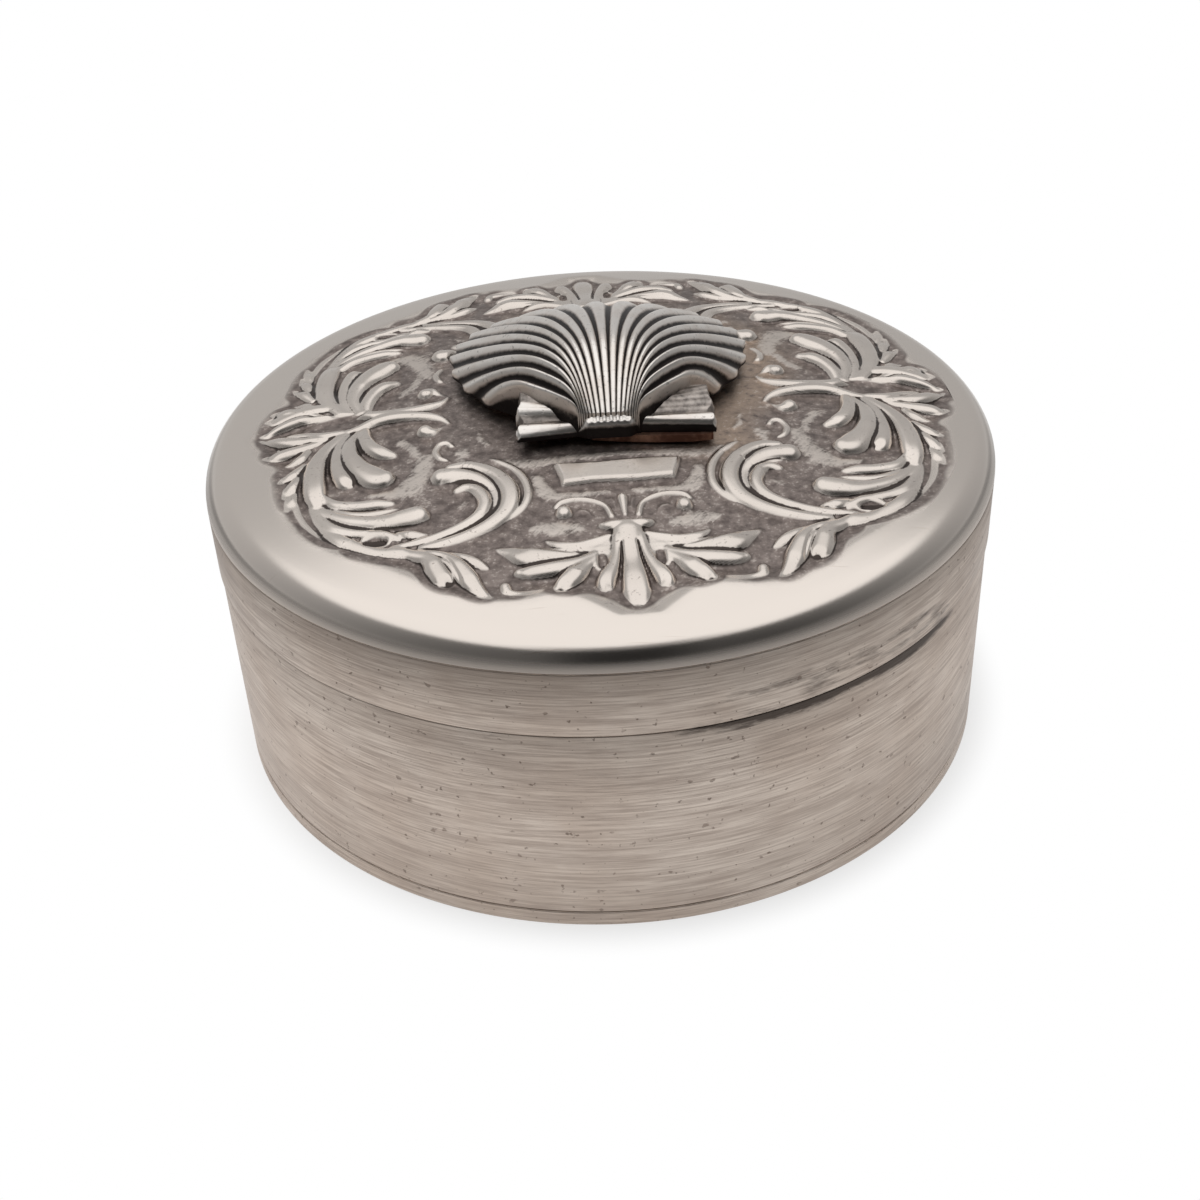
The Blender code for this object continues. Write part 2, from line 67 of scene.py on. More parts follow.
# A pole starts as a ring of this radius, and points closer than the merge distance become one.
POLE_RADIUS = 1e-7
MERGE_DISTANCE = 0.002 * MM
SMOOTH_ANGLE = math.radians(40)
ROUND_STEPS = 288
CORNER_STEPS = 4

# The domed plate: a soft shoulder that runs into a shallow dome, and the struck disc in its middle.
SHOULDER_RADIUS = 1.8 * MM
SHOULDER_STEPS = 11
# The plain underside starts this far inside the shoulder's centre.
UNDERSIDE_EDGE = 0.4 * MM
UNDERSIDE_STEPS = 4
DOME_RADIUS = 145 * MM
SHOULDER_CENTRE = LID_RADIUS - SHOULDER_RADIUS
DOME_EDGE = SHOULDER_CENTRE / (1 - SHOULDER_RADIUS / DOME_RADIUS)
DOME_SLOPE = math.asin(DOME_EDGE / DOME_RADIUS)
DOME_CENTRE = SHOULDER_BASE + (SHOULDER_RADIUS - DOME_RADIUS) * math.cos(DOME_SLOPE)
PANEL_RADIUS = 22.75 * MM
FIELD_STEPS = 600
# Each quarter of the struck disc is one piece: its column and its row.
QUARTERS = {"struck_front_left": (0, 0), "struck_front_right": (1, 0),
            "struck_back_left": (0, 1), "struck_back_right": (1, 1)}
# What the plate's finish follows: bare ground (tarnish, and painted shade near forms), heat stain, hollows,
# rubbed patches, the whole ornament.
FINISH_FIELDS = ("ground", "browned", "hollow", "rubbed", "inside")
# Passes of averaging: for the die's soft edges, for what counts as a hollow, for how far the painted shade
# of a form keeps its ground dark, and for the soft edge of a rubbed patch.
EDGE_SOFTENING = 2
HOLLOW_SPREAD = 26
FORM_SPREAD = 180
RUB_SOFTENING = 8
# A place this far below its surroundings, in millimetres, is fully tarnished.
FULL_HOLLOW = 0.075

# The struck ornament, in millimetres in its own frame, which is turned and shifted on the lid.
ORNAMENT_TURN = math.radians(3.3)
ORNAMENT_SHIFT = 0.52
# The ground's depth, the width of its slope, and how far outside its outline its finish starts.
SINK = 0.40
SINK_WALL = 1.9
GROUND_EDGE = 0.6
# Places were read on the plain dome, at a low angle: a ridge of 1 mm shows this far behind its place.
LEAN = 1.1
STROKE_WIDENING = 1.16
# A stroke's rise against its width, the most it may be, how flat its top and how round its sides are.
RISE_SHARE = 0.45
HIGHEST = 0.62
USUAL_FLAT = 3.0
SIDE_ROUND = 0.7
# Points between two given ones of a stroke and of an outline, and the narrowest a stroke may be.
STROKE_STEPS = 6
OUTLINE_STEPS = 3
THINNEST = 0.02
# A path that stays this near an axis isn't mirrored across it.
ON_AXIS = 0.01
# How far from its path a stroke or a web is worked out, and how softly forms run into each other.
STROKE_REACH = 1.2
WEB_REACH = 1.6
BLEND = 0.05
DEEPEST_CUT = 0.6
PLAQUE_SLOPE = 0.3
RUBBED_RISE = 0.08
# The ground stays plain this far round the shell, and the heat stain reaches further.
SHELL_CLEARANCE = 0.3
SHELL_GUTTER = 0.5
HEAT_REACH = 3.2

# The cast shell, in millimetres in its own turn and shift on the lid.
SHELL_TURN = math.radians(1.1)
SHELL_SHIFT = 0.3
# Heights of the crest and of the rim, and how far the crest lies from the umbo.
SHELL_CREST = 4.13
SHELL_RIM = 0.2
CREST_RUN = 5.6
# The fan seen from above: its reach to the sides, its shorter reach to the back, and its centre.
FAN_RADIUS = 9.75
FAN_BACK = 7.55
FAN_CENTRE = (0.02, 5.1)
FAN_STEPS = 72
# The umbo, where the ribs start: its shift to the right, its reach to the front, its width and its height.
UMBO_SHIFT = 0.7
UMBO_REACH = 5.8
UMBO_WIDTH = 3.75
UMBO_RISE = 1.52
RIB_COUNT = 19
RIB_DEPTH = 0.3
# Faces across and along the fan and the ears.
FAN_GRID = (RIB_COUNT * 16, 96)
EARS_GRID = (240, 66)
# How dark the low walls under the edges of the fan and the ears are painted: painted shade under the
# overhanging edges.
FAN_WALL_SHADE = 1.0
EARS_WALL_SHADE = 0.85
# The fan's edge goes in this far between two ribs, and stays this high above its base.
SCALLOP = 0.25
FAN_LIFT = 0.06
# How far the outermost ribs turn from straight back, at the rim and where they start.
RIM_SPREAD = math.radians(139.8)
START_SPREAD = math.radians(26.8)
EAR_WIDTH = 12.1
EAR_DEPTH = 3.3
EAR_FRONT = 0.55
# The knob between the ears stands a little left of their middle.
KNOB_SHARE = -0.075
# The copper plate is this much smaller than the shell, and solder fills the right of its front.
PAD_INSET = 1.1
SOLDER = [(-0.8, -5.7), (1.0, -6.1), (3.0, -6.4), (5.2, -6.58), (6.5, -6.45), (6.5, -5.5), (0.4, -5.4)]
SOLDER_RISE = 0.06
# Height of the ears, in millimetres, against the distance behind their front edge.
EAR_LEFT = [(0, 0.18), (0.06, 0.32), (0.2, 0.5), (0.4, 0.67), (0.6, 0.77), (0.8, 0.78), (1.05, 0.73),
            (1.25, 0.76), (1.45, 0.94), (1.65, 1.18), (1.85, 1.36), (2.1, 1.44), (2.4, 1.5), (2.7, 1.72),
            (3.3, 1.95)]
EAR_MIDDLE = [(0, 0.5), (0.05, 0.8), (0.12, 0.98), (0.3, 1.12), (0.5, 1.2), (0.8, 1.25), (1.0, 1.0),
              (3.3, 0.3)]
EAR_RIGHT = [(0, 0.4), (0.06, 0.56), (0.2, 0.8), (0.4, 0.93), (0.6, 0.97), (0.8, 0.93), (1.0, 0.88),
             (1.3, 0.94), (1.7, 1.12), (2.2, 1.34), (2.75, 1.5), (3.3, 1.55)]

# Strokes of one quarter of the lid: (to the right, to the back, width) in millimetres.
STROKES = {
    "stem": [(16.3, -1.1, 0.55), (17.4, -2.7, 0.88), (18.0, -4.3, 1.16), (18.12, -6.0, 1.32),
             (18.0, -7.6, 1.32), (17.8, -8.8, 0.99), (17.5, -9.6, 0.55)],
    "stem_low": [(18.1, -9.0, 0.4), (17.9, -10.6, 0.45), (17.1, -12.1, 0.7), (16.2, -13.2, 1.0),
                 (15.2, -14.05, 0.95), (14.2, -14.75, 0.85), (13.0, -15.1, 1.0), (11.9, -15.5, 0.8)],
    "stem_rim": [(19.3, -6.9, 0.3), (19.2, -8.2, 0.4), (18.95, -9.6, 0.45), (18.5, -10.9, 0.45),
                 (17.8, -12.1, 0.4), (17.0, -13.15, 0.35), (16.1, -14.0, 0.3), (15.1, -14.7, 0.25)],
    "lobe_a": [(17.5, -8.5, 0.65), (16.6, -9.5, 0.81), (15.4, -9.95, 0.85), (14.2, -10.1, 0.85),
               (13.4, -10.3, 0.52)],
    "lobe_ab": [(17.5, -9.3, 0.38), (16.4, -10.4, 0.5), (15.0, -11.0, 0.53), (13.7, -11.05, 0.44),
                (12.9, -11.0, 0.25)],
    "lobe_b": [(17.9, -9.2, 0.44), (17.2, -10.2, 0.66), (16.1, -11.1, 0.83), (14.8, -11.7, 0.99),
               (13.5, -11.95, 1.26), (12.4, -11.7, 1.54), (11.9, -11.6, 1.49)],
    "eye_top": [(18.0, -9.6, 0.46), (17.4, -10.9, 0.57), (16.6, -11.95, 0.75), (15.6, -12.6, 0.69),
                (14.5, -12.95, 0.57), (13.7, -13.2, 0.63), (13.1, -13.7, 0.57), (12.75, -14.2, 0.34)],
    "eye_rim": [(15.05, -13.75, 0.4), (14.75, -13.3, 0.48), (14.2, -13.12, 0.5), (13.6, -13.25, 0.48),
                (13.3, -13.65, 0.42), (13.5, -14.1, 0.42), (14.1, -14.3, 0.45), (14.75, -14.15, 0.42)],
    "leaf_c": [(13.0, -13.3, 0.39), (12.2, -13.6, 0.78), (11.35, -13.9, 0.39)],
    "inner_curl": [(9.46, -9.9, 0.55), (9.0, -9.65, 0.66), (8.4, -9.95, 0.77), (7.98, -10.8, 0.83),
                   (7.95, -11.7, 0.83), (8.35, -12.65, 0.83), (9.2, -13.4, 0.77), (10.4, -14.0, 0.66),
                   (11.7, -14.4, 0.61), (13.2, -14.65, 0.55)],
    "middle_band": [(10.35, -8.05, 1.38), (9.5, -8.15, 1.21), (8.6, -8.55, 0.99), (7.9, -9.25, 0.77),
                    (7.37, -10.2, 0.55), (7.22, -11.2, 0.5), (7.48, -12.4, 0.5), (8.3, -13.45, 0.44),
                    (9.6, -14.15, 0.44), (11.0, -14.55, 0.33)],
    "wide_band": [(9.9, -7.3, 0.55), (8.9, -7.3, 0.77), (7.85, -7.9, 0.94), (7.0, -8.85, 1.04),
                  (6.5, -10.0, 1.1), (6.4, -11.2, 1.1), (6.72, -12.4, 1.04), (7.6, -13.5, 0.94),
                  (8.9, -14.3, 0.77), (10.3, -14.8, 0.66), (11.6, -15.05, 0.55)],
    "outer_rim": [(7.5, -6.95, 0.3), (6.9, -7.4, 0.45), (6.15, -8.2, 0.5), (5.62, -9.2, 0.55),
                  (5.38, -10.4, 0.55), (5.48, -11.6, 0.55), (6.0, -12.7, 0.5), (6.95, -13.6, 0.45),
                  (8.2, -14.35, 0.4), (9.6, -14.85, 0.3)],
    "lobe_d": [(15.6, -1.6, 0.65), (16.05, -3.0, 0.98), (15.95, -4.4, 1.23), (15.35, -5.8, 1.56),
               (14.5, -6.85, 1.76), (13.9, -7.3, 1.43)],
    "lobe_e": [(16.2, -1.6, 0.45), (16.75, -3.1, 0.72), (16.82, -4.6, 0.91), (16.6, -6.0, 1.04),
               (16.2, -7.1, 1.04), (15.85, -7.8, 0.45)],
    "lobe_f": [(15.2, -1.2, 0.65), (15.15, -2.4, 0.98), (14.7, -3.6, 1.1), (14.05, -4.4, 1.04),
               (13.4, -4.95, 0.65)],
    "volute": [(16.5, -1.2, 0.44), (15.5, -0.95, 0.77), (14.5, -0.35, 0.94), (13.4, -0.15, 0.99),
               (12.1, -0.35, 0.88), (11.05, -0.75, 0.72), (10.35, -1.3, 0.5), (9.95, -2.0, 0.33)],
    "volute_ball": [(11.4, -2.45, 1.0), (11.0, -2.75, 0.8), (10.5, -2.6, 0.35), (10.0, -2.15, 0.25)],
    "small_curl": [(9.75, -4.9, 0.35), (10.05, -4.42, 0.4), (10.5, -4.5, 0.42), (10.75, -5.3, 0.42),
                   (10.5, -6.1, 0.4), (10.1, -6.5, 0.3)],
    "side_ridge": [(16.7, -1.15, 0.65), (17.9, -1.1, 0.78), (19.0, -0.65, 0.65), (20.1, -0.3, 0.45)],
    "side_lobe": [(17.8, -1.5, 0.68), (18.7, -1.4, 0.81), (19.5, -1.35, 1.08), (20.7, -0.85, 1.01),
                  (21.8, -0.5, 0.41)],
    "side_leaf": [(18.1, -1.95, 0.5), (19.0, -2.25, 0.81), (19.8, -2.5, 1.06), (20.6, -2.75, 1.06),
                  (21.35, -3.1, 0.44)],
    "fringe_1": [(18.75, -2.8, 0.56), (19.2, -3.65, 0.77), (19.95, -4.25, 0.35)],
    "fringe_2": [(18.85, -4.5, 0.56), (19.6, -5.5, 0.84), (20.25, -6.4, 0.35)],
    "fringe_3": [(19.0, -5.6, 0.56), (19.45, -6.8, 0.84), (19.85, -8.2, 0.35)],
    "fringe_4": [(19.15, -7.4, 0.42), (19.4, -8.4, 0.7), (19.55, -9.6, 0.35)],
    "spray_g": [(12.3, -15.4, 0.72), (11.2, -16.0, 1.02), (10.75, -17.0, 1.26), (10.4, -17.9, 1.2),
                (10.1, -18.7, 0.48)],
    "spray_h": [(11.7, -15.45, 0.69), (10.5, -16.0, 0.92), (9.75, -16.75, 1.15), (9.15, -17.8, 1.26),
                (8.65, -19.0, 0.98), (8.1, -20.0, 0.57), (7.7, -20.4, 0.23)],
    "spray_i": [(11.0, -15.6, 0.5), (10.1, -16.0, 0.62), (9.2, -16.4, 0.75), (8.55, -16.95, 0.75),
                (8.0, -17.6, 0.38)],
    "hook": [(7.05, -19.2, 0.6), (6.9, -19.75, 0.6), (6.2, -20.05, 0.5), (5.4, -20.1, 0.4),
             (4.7, -19.9, 0.2)],
    "collar_bar": [(0, -14.75, 0.75), (0.9, -14.75, 0.72), (1.35, -14.75, 0.5)],
    "tendril": [(0.76, -14.0, 0.35), (1.08, -12.9, 0.35), (1.87, -12.3, 0.4), (2.7, -12.1, 0.42),
                (3.5, -12.25, 0.42), (3.85, -12.7, 0.35)],
    "tendril_ball": [(3.45, -13.05, 0.9), (3.45, -13.2, 0.9)],
    "tendril_twig": [(2.55, -13.25, 0.28), (2.15, -13.4, 0.28), (1.86, -14.0, 0.22)],
    "bud": [(0, -14.0, 0.3), (0, -13.0, 0.42), (0, -12.1, 0.55)],
    "bud_side": [(0.45, -13.5, 0.22), (0.5, -12.8, 0.25), (0.65, -12.3, 0.25)],
    "leaf_top": [(1.1, -15.8, 0.46), (2.2, -16.2, 0.63), (3.0, -16.4, 0.75), (3.8, -16.25, 0.69),
                 (4.6, -15.85, 0.29)],
    "leaf_one": [(1.9, -16.8, 0.48), (3.0, -16.95, 0.72), (4.3, -16.95, 1.14), (5.6, -16.8, 1.5),
                 (6.6, -16.4, 0.9), (7.6, -16.05, 0.24)],
    "leaf_two": [(2.0, -17.3, 0.52), (2.9, -17.75, 0.78), (4.1, -18.05, 1.1), (5.5, -18.2, 0.98),
                 (6.2, -18.2, 0.65)],
    "leaf_three": [(2.0, -17.6, 0.54), (2.6, -18.1, 0.81), (3.3, -18.75, 1.22), (3.85, -19.5, 1.08),
                   (4.2, -20.3, 0.41)],
    "middle": [(0, -15.2, 1.72), (0, -16.0, 1.61), (0, -17.9, 1.26), (0, -19.3, 1.55), (0, -20.4, 1.44),
               (0, -21.3, 0.98), (0, -22.1, 0.34)],
    "middle_side": [(0.55, -15.8, 0.77), (0.75, -17.2, 0.67), (1.1, -18.3, 0.82), (1.5, -19.2, 1.01),
                    (1.65, -19.8, 0.91), (1.55, -20.4, 0.38)],
    "leaf_ring": [(1.2, -16.9, 0.35), (1.75, -16.85, 0.4), (2.15, -17.3, 0.4), (2.1, -18.1, 0.4),
                  (1.85, -18.7, 0.35)],
}
# Low webs of metal that join neighbouring lobes, so that only narrow furrows part them, and their height.
WEBS = {
    "web_low": [(18.0, -8.4, 1.0), (17.3, -9.9, 2.0), (16.3, -11.1, 2.4), (15.2, -12.0, 2.0),
                (14.2, -12.6, 1.0)],
    "web_high": [(16.6, -1.4, 1.2), (16.5, -2.8, 2.2), (16.3, -4.2, 2.4), (15.7, -5.4, 1.4)],
    "web_flower": [(0, -16.2, 2.4), (2.2, -17.2, 2.2), (3.6, -17.5, 1.6), (4.6, -17.5, 0.8)],
    "web_side": [(17.5, -1.2, 1.2), (19.0, -1.4, 2.4), (20.2, -1.5, 1.6)],
    "web_spray": [(11.6, -15.7, 1.4), (10.4, -16.5, 1.8), (9.8, -17.2, 1.2)],
    "web_curl": [(10.3, -8.4, 1.0), (8.3, -8.8, 2.0), (7.0, -10.5, 2.6), (7.3, -12.4, 2.2), (8.8, -13.9, 1.6),
                 (11.0, -14.7, 1.2)],
}
WEB_RISE = 0.2
# One more lobe stands only on the half away from the front.
BACK_STROKES = {
    "side_great": [(16.9, 2.3, 0.6), (18.3, 2.75, 1.2), (19.6, 2.6, 1.5), (20.8, 2.15, 1.2),
                   (21.7, 1.7, 0.5)],
}
# Height of a stroke against the usual for its width, and how flat its top is.
LIFTS = {"stem": 0.85, "middle": 0.62, "collar_bar": 1.3, "lobe_d": 0.9, "lobe_b": 0.85, "tendril": 1.4,
         "small_curl": 1.3, "bud": 1.2, "tendril_ball": 1.1, "stem_low": 0.75, "wide_band": 0.9,
         "middle_band": 0.85, "leaf_one": 0.75, "outer_rim": 0.9, "side_great": 0.7, "volute": 1.05}
FLAT = {"stem": 5, "wide_band": 4, "stem_low": 3, "leaf_one": 3, "spray_h": 3, "spray_g": 3, "middle": 2.6}
# Thin cuts: (to the right, to the back, width), with their depth.
GROOVES = {
    "eye": ([(14.65, -13.65, 0.62), (14.2, -13.7, 0.8), (13.8, -13.75, 0.6)], 0.8),
    "leaf_eye": ([(1.6, -17.35, 0.55), (1.6, -18.0, 0.6)], 0.4),
    "middle_cut": ([(0.45, -16.4, 0.12), (0.55, -17.6, 0.14), (0.72, -18.8, 0.2), (0.85, -20.2, 0.25)], 0.25),
    "leaf_cut": ([(2.4, -16.95, 0.1), (3.6, -16.8, 0.14), (5.0, -16.5, 0.14), (6.2, -16.25, 0.1)], 0.12),
    "spray_cut": ([(11.2, -15.7, 0.1), (10.2, -16.5, 0.14), (9.7, -17.6, 0.16), (9.4, -18.6, 0.12)], 0.14),
}
# The side flower's long hollow, which lies a little behind its axis.
HOLLOW = [(15.4, 0.9, 0.5), (16.8, 0.95, 1.0), (18.4, 0.75, 1.35), (19.8, 0.45, 1.1), (21.2, 0.25, 0.3)]
HOLLOW_DEPTH = 0.3
# The edge of the sunk ground of one quarter, from the front tip to the right-hand tip.
OUTLINE = [(0, -22.6), (0.6, -22.55), (1.3, -22.45), (2.15, -21.7), (3.15, -20.9), (4.3, -20.45),
           (6.4, -20.65), (7.9, -20.5), (8.7, -20.25), (10.2, -19.35), (11.2, -18.6), (12.4, -17.5),
           (13.7, -16.45), (15.2, -15.35), (16.75, -14.3), (18.25, -12.8), (19.3, -11.2), (19.8, -9.9),
           (19.98, -8.8), (20.3, -7.5), (20.5, -6.2), (20.9, -4.6), (21.5, -3.0), (22.1, -1.5), (22.58, 0)]
PLAQUE = [(-3.9, -8.0), (-1.2, -8.25), (1.5, -8.1), (3.95, -8.2), (3.75, -9.2), (3.35, -10.5), (1.0, -10.65),
          (-1.5, -10.5), (-3.5, -10.65), (-3.6, -9.6)]
PLAQUE_RISE = 0.42
# Flat stretches of the ground that cloths have rubbed light: (to the right, to the back, reach).
RUBBED = [
    [(13.5, -9.1, 0.5), (12.4, -8.7, 1.3), (11.7, -7.4, 1.1), (11.4, -6.0, 0.9), (11.2, -5.4, 0.5)],
    [(14.6, -8.9, 0.4), (13.6, -8.9, 0.5)],
    [(4.8, -9.2, 0.5), (4.5, -10.5, 0.8), (3.9, -11.3, 0.7), (2.2, -11.35, 0.5), (0.8, -11.3, 0.4)],
    [(5.1, -14.25, 0.6), (3.9, -14.4, 1.0), (2.7, -14.6, 0.6)],
    [(12.9, -3.2, 0.6), (12.2, -4.2, 0.5), (11.9, -5.2, 0.5)],
    [(9.6, -5.4, 0.3), (8.9, -5.7, 0.4)],
    [(8.1, -3.2, 0.2), (8.0, -4.2, 0.35), (7.6, -4.9, 0.3)],
    [(8.9, -10.9, 0.3), (9.4, -11.4, 0.3)],
    [(0, -7.3, 0.45), (2.5, -7.4, 0.6), (5.2, -7.6, 0.8), (6.9, -7.1, 0.5)],
    [(8.6, -7.9, 0.3), (9.2, -6.4, 0.4), (8.9, -5.2, 0.4)],
]


def ease(value):
    """Runs smoothly from 0 to 1 while the value does."""
    t = np.clip(value, 0, 1)
    return t * t * (3 - 2 * t)


def bell(value, centre, width, power=4):
    """1 at the centre, falling softly to 0 past the width on both sides."""
    return np.exp(-((value - centre) / width) ** power)


def smooth_max(a, b):
    """The higher of two heights, with a small fillet where they meet."""
    near = np.maximum(BLEND - np.abs(a - b), 0) / BLEND
    return np.maximum(a, b) + near ** 2 * BLEND / 4


def smooth_points(points, steps=STROKE_STEPS):
    """Puts points between the given ones, on a smooth curve through them."""
    knots = np.array(points, float)
    ends = np.vstack([2 * knots[0] - knots[1], knots, 2 * knots[-1] - knots[-2]])
    out = []
    for i in range(len(knots) - 1):
        a, b, c, d = ends[i:i + 4]
        for k in range(steps):
            t = k / steps
            out.append((2 * b + (c - a) * t + (2 * a - 5 * b + 4 * c - d) * t ** 2
                        + (3 * b - a - 3 * c + d) * t ** 3) / 2)
    out.append(knots[-1])
    return np.array(out)


def nearest_on(points, a, b):
    """For each point, its share of the way along a straight stretch and its distance from it."""
    run = b - a
    share = np.clip(((points - a) @ run) / max(run @ run, TINY), 0, 1)
    return share, np.hypot(*(points - a - share[:, None] * run).T)


def stroke_field(points, stroke, reach=STROKE_REACH):
    """For points near a stroke: which they are, distance over half width, and the width there."""
    low = stroke[:, :2].min(0) - reach
    high = stroke[:, :2].max(0) + reach
    near = np.where(((points >= low) & (points <= high)).all(1))[0]
    spot = points[near]
    best = np.full(len(near), np.inf)
    width = np.ones(len(near))
    for a, b in zip(stroke[:-1], stroke[1:]):
        place, dist = nearest_on(spot, a[:2], b[:2])
        wide = a[2] * (1 - place) + b[2] * place
        share = 2 * dist / np.maximum(wide, THINNEST)
        closer = share < best
        best[closer] = share[closer]
        width[closer] = wide[closer]
    return near, best, width


def depth_inside(points, loop):
    """How far each point lies inside a closed outline; outside it the number is negative."""
    nearest = np.full(len(points), np.inf)
    inside = np.zeros(len(points), bool)
    for a, b in zip(loop, np.roll(loop, -1, axis=0)):
        nearest = np.minimum(nearest, nearest_on(points, a, b)[1])
        above = (a[1] > points[:, 1]) != (b[1] > points[:, 1])
        if a[1] != b[1]:
            cross = (b[0] - a[0]) * (points[:, 1] - a[1]) / (b[1] - a[1]) + a[0]
            inside ^= above & (points[:, 0] < cross)
    return np.where(inside, nearest, -nearest)


def mirrored(points):
    """The four images of a row of points; one that lies on an axis has only two."""
    off_axis = np.abs(points[:, :2]).max(0) > ON_AXIS
    for sx in (1, -1):
        for sy in (1, -1):
            if (sx > 0 or off_axis[0]) and (sy < 0 or off_axis[1]):
                copy = points.copy()
                copy[:, 0] *= sx
                copy[:, 1] *= -sy
                yield copy


def back_pair(points):
    """A row of points and its image across the middle line."""
    return [points, points * [-1, 1, 1]]


def ground_loop():
    """The edge of the sunk ground, all the way round."""
    quarter = smooth_points(OUTLINE, OUTLINE_STEPS)
    right = np.vstack([quarter, (quarter * [1, -1])[::-1][1:]])
    return np.vstack([right, (right * [-1, 1])[::-1][1:-1]])


def turn_points(points, turn, shift):
    """Turns points about the middle of the lid, then shifts them to the right."""
    c, s = math.cos(turn), math.sin(turn)
    return np.stack([points[:, 0] * c - points[:, 1] * s + shift, points[:, 0] * s + points[:, 1] * c], 1)


def to_ornament(points):
    """Places on the lid as the ornament's own frame gives them."""
    return turn_points(points - [ORNAMENT_SHIFT, 0], -ORNAMENT_TURN, 0)


def fan_rim(turn, inset):
    """The fan's edge at a turn from straight back, drawn in by an inset, in the shell's frame."""
    deep = np.where(np.cos(turn) > 0, FAN_BACK, FAN_RADIUS) - inset
    across = FAN_CENTRE[0] + (FAN_RADIUS - inset) * np.sin(turn)
    return np.stack([across, FAN_CENTRE[1] + deep * np.cos(turn)], 1)


def shell_plan(margin):
    """The outline of the shell seen from above, drawn in by a margin, in the shell's frame."""
    half = EAR_WIDTH / 2 - margin
    front = -UMBO_REACH + margin
    bar = [(UMBO_SHIFT + half, front), (UMBO_SHIFT - half, front)]
    return np.vstack([fan_rim(np.linspace(-RIM_SPREAD, RIM_SPREAD, FAN_STEPS), margin), bar])


def raise_stroke(raised, local, name, path, copies):
    """Raises one stroke and its images, as high as its width and its own lift make it."""
    lift = LIFTS.get(name, 1)
    path[:, 1] -= LEAN * (np.minimum(path[:, 2] * RISE_SHARE * lift, HIGHEST) - SINK)
    path[:, 2] *= STROKE_WIDENING
    for copy in copies(path):
        near, share, width = stroke_field(local, copy)
        top = np.minimum(width * RISE_SHARE * lift, HIGHEST)
        bump = top * np.clip(1 - share ** FLAT.get(name, USUAL_FLAT), 0, 1) ** SIDE_ROUND
        raised[near] = smooth_max(raised[near], bump)


def struck_relief(points):
    """Relief over the plain dome, and where the ground is sunk, bare, rubbed light or browned by heat."""
    local = to_ornament(points)
    inside = depth_inside(local, ground_loop())
    raised = np.zeros(len(local))
    for strokes, copies in ((STROKES, mirrored), (BACK_STROKES, back_pair)):
        for name, stroke in strokes.items():
            raise_stroke(raised, local, name, smooth_points(stroke), copies)
    # Webs have a level top and soft sides.
    for stroke in WEBS.values():
        for copy in mirrored(smooth_points(stroke)):
            near, share, _ = stroke_field(local, copy, WEB_REACH)
            raised[near] = smooth_max(raised[near], WEB_RISE * ease((1.15 - share) / 0.5))
    plaque = ease(depth_inside(local, np.array(PLAQUE)) / PLAQUE_SLOPE)
    raised = smooth_max(raised, plaque * PLAQUE_RISE)
    cuts = [(mirrored(smooth_points(path)), depth) for path, depth in GROOVES.values()]
    for copies, depth in cuts + [(back_pair(smooth_points(HOLLOW)), HOLLOW_DEPTH)]:
        for copy in copies:
            near, share, _ = stroke_field(local, copy)
            raised[near] -= depth * np.clip(1 - share ** 2, 0, 1)
    rubbed = np.zeros(len(local))
    for stroke in RUBBED:
        for copy in mirrored(smooth_points(stroke)):
            near, share, _ = stroke_field(local, copy)
            rubbed[near] = np.maximum(rubbed[near], ease(1.15 - share * 0.45))
    # Nothing stands or is cut under the shell, and rubbed patches are all but level.
    plan = to_ornament(turn_points(shell_plan(-SHELL_CLEARANCE), SHELL_TURN, SHELL_SHIFT))
    from_shell = -depth_inside(local, plan)
    raised = np.maximum(raised * ease(from_shell / SHELL_GUTTER), -DEEPEST_CUT)
    rubbed = rubbed * ease(inside / GROUND_EDGE)
    raised = np.where(rubbed > 0, np.maximum(raised, rubbed * RUBBED_RISE), raised)
    ground = -SINK * ease(inside / SINK_WALL) ** 0.8
    relief = smooth_max(ground, raised - SINK) * (inside > -GROUND_EDGE)
    # The ground is bare where no form stands on it, and the heat stain lies to the right of the shell.
    bare = ease((inside + GROUND_EDGE) / 0.5) * (1 - ease((raised - 0.04) / 0.2))
    rightwards = ease((local[:, 0] + local[:, 1] * 0.6 + 3) / 6)
    heat = ease(1.2 - from_shell / HEAT_REACH) * rightwards
    return relief, raised, inside, bare, rubbed, heat


def new_piece(name, body, node, material):
    """Names the selected piece, gives it its material, hangs it on the body it rides on, and hides the part
    it stands for.
    """
    piece = bpy.context.object
    piece.name = name
    piece.data.name = name
    piece.data.materials.clear()
    piece.data.materials.append(material)
    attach(piece, body)
    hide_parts(node)


def start_edit():
    bpy.ops.object.mode_set(mode='EDIT')
    bpy.ops.mesh.select_all(action='SELECT')


def end_edit():
    """Merges doubles, points the faces outwards, and shades the piece with its sharp edges kept."""
    bpy.ops.mesh.select_all(action='SELECT')
    bpy.ops.mesh.remove_doubles(threshold=MERGE_DISTANCE)
    bpy.ops.mesh.normals_make_consistent(inside=False)
    bpy.ops.object.mode_set(mode='OBJECT')
    bpy.ops.object.shade_smooth_by_angle(angle=SMOOTH_ANGLE)


def turned_piece(profile):
    """A ring of edges extruded along a profile of (radius, height) points, as on a lathe."""
    bpy.ops.object.select_all(action='DESELECT')
    radius, height = profile[0]
    bpy.ops.mesh.primitive_circle_add(vertices=ROUND_STEPS, radius=radius, location=(0, 0, height))
    bpy.ops.object.transform_apply(location=True, rotation=True, scale=True)
    start_edit()
    for new_radius, new_height in profile[1:]:
        new_radius = max(new_radius, POLE_RADIUS)
        bpy.ops.mesh.extrude_region_move(TRANSFORM_OT_translate={"value": (0, 0, new_height - height)})
        share = new_radius / radius
        bpy.ops.transform.resize(value=(share, share, 1), center_override=(0, 0, 0))
        radius, height = new_radius, new_height
    end_edit()


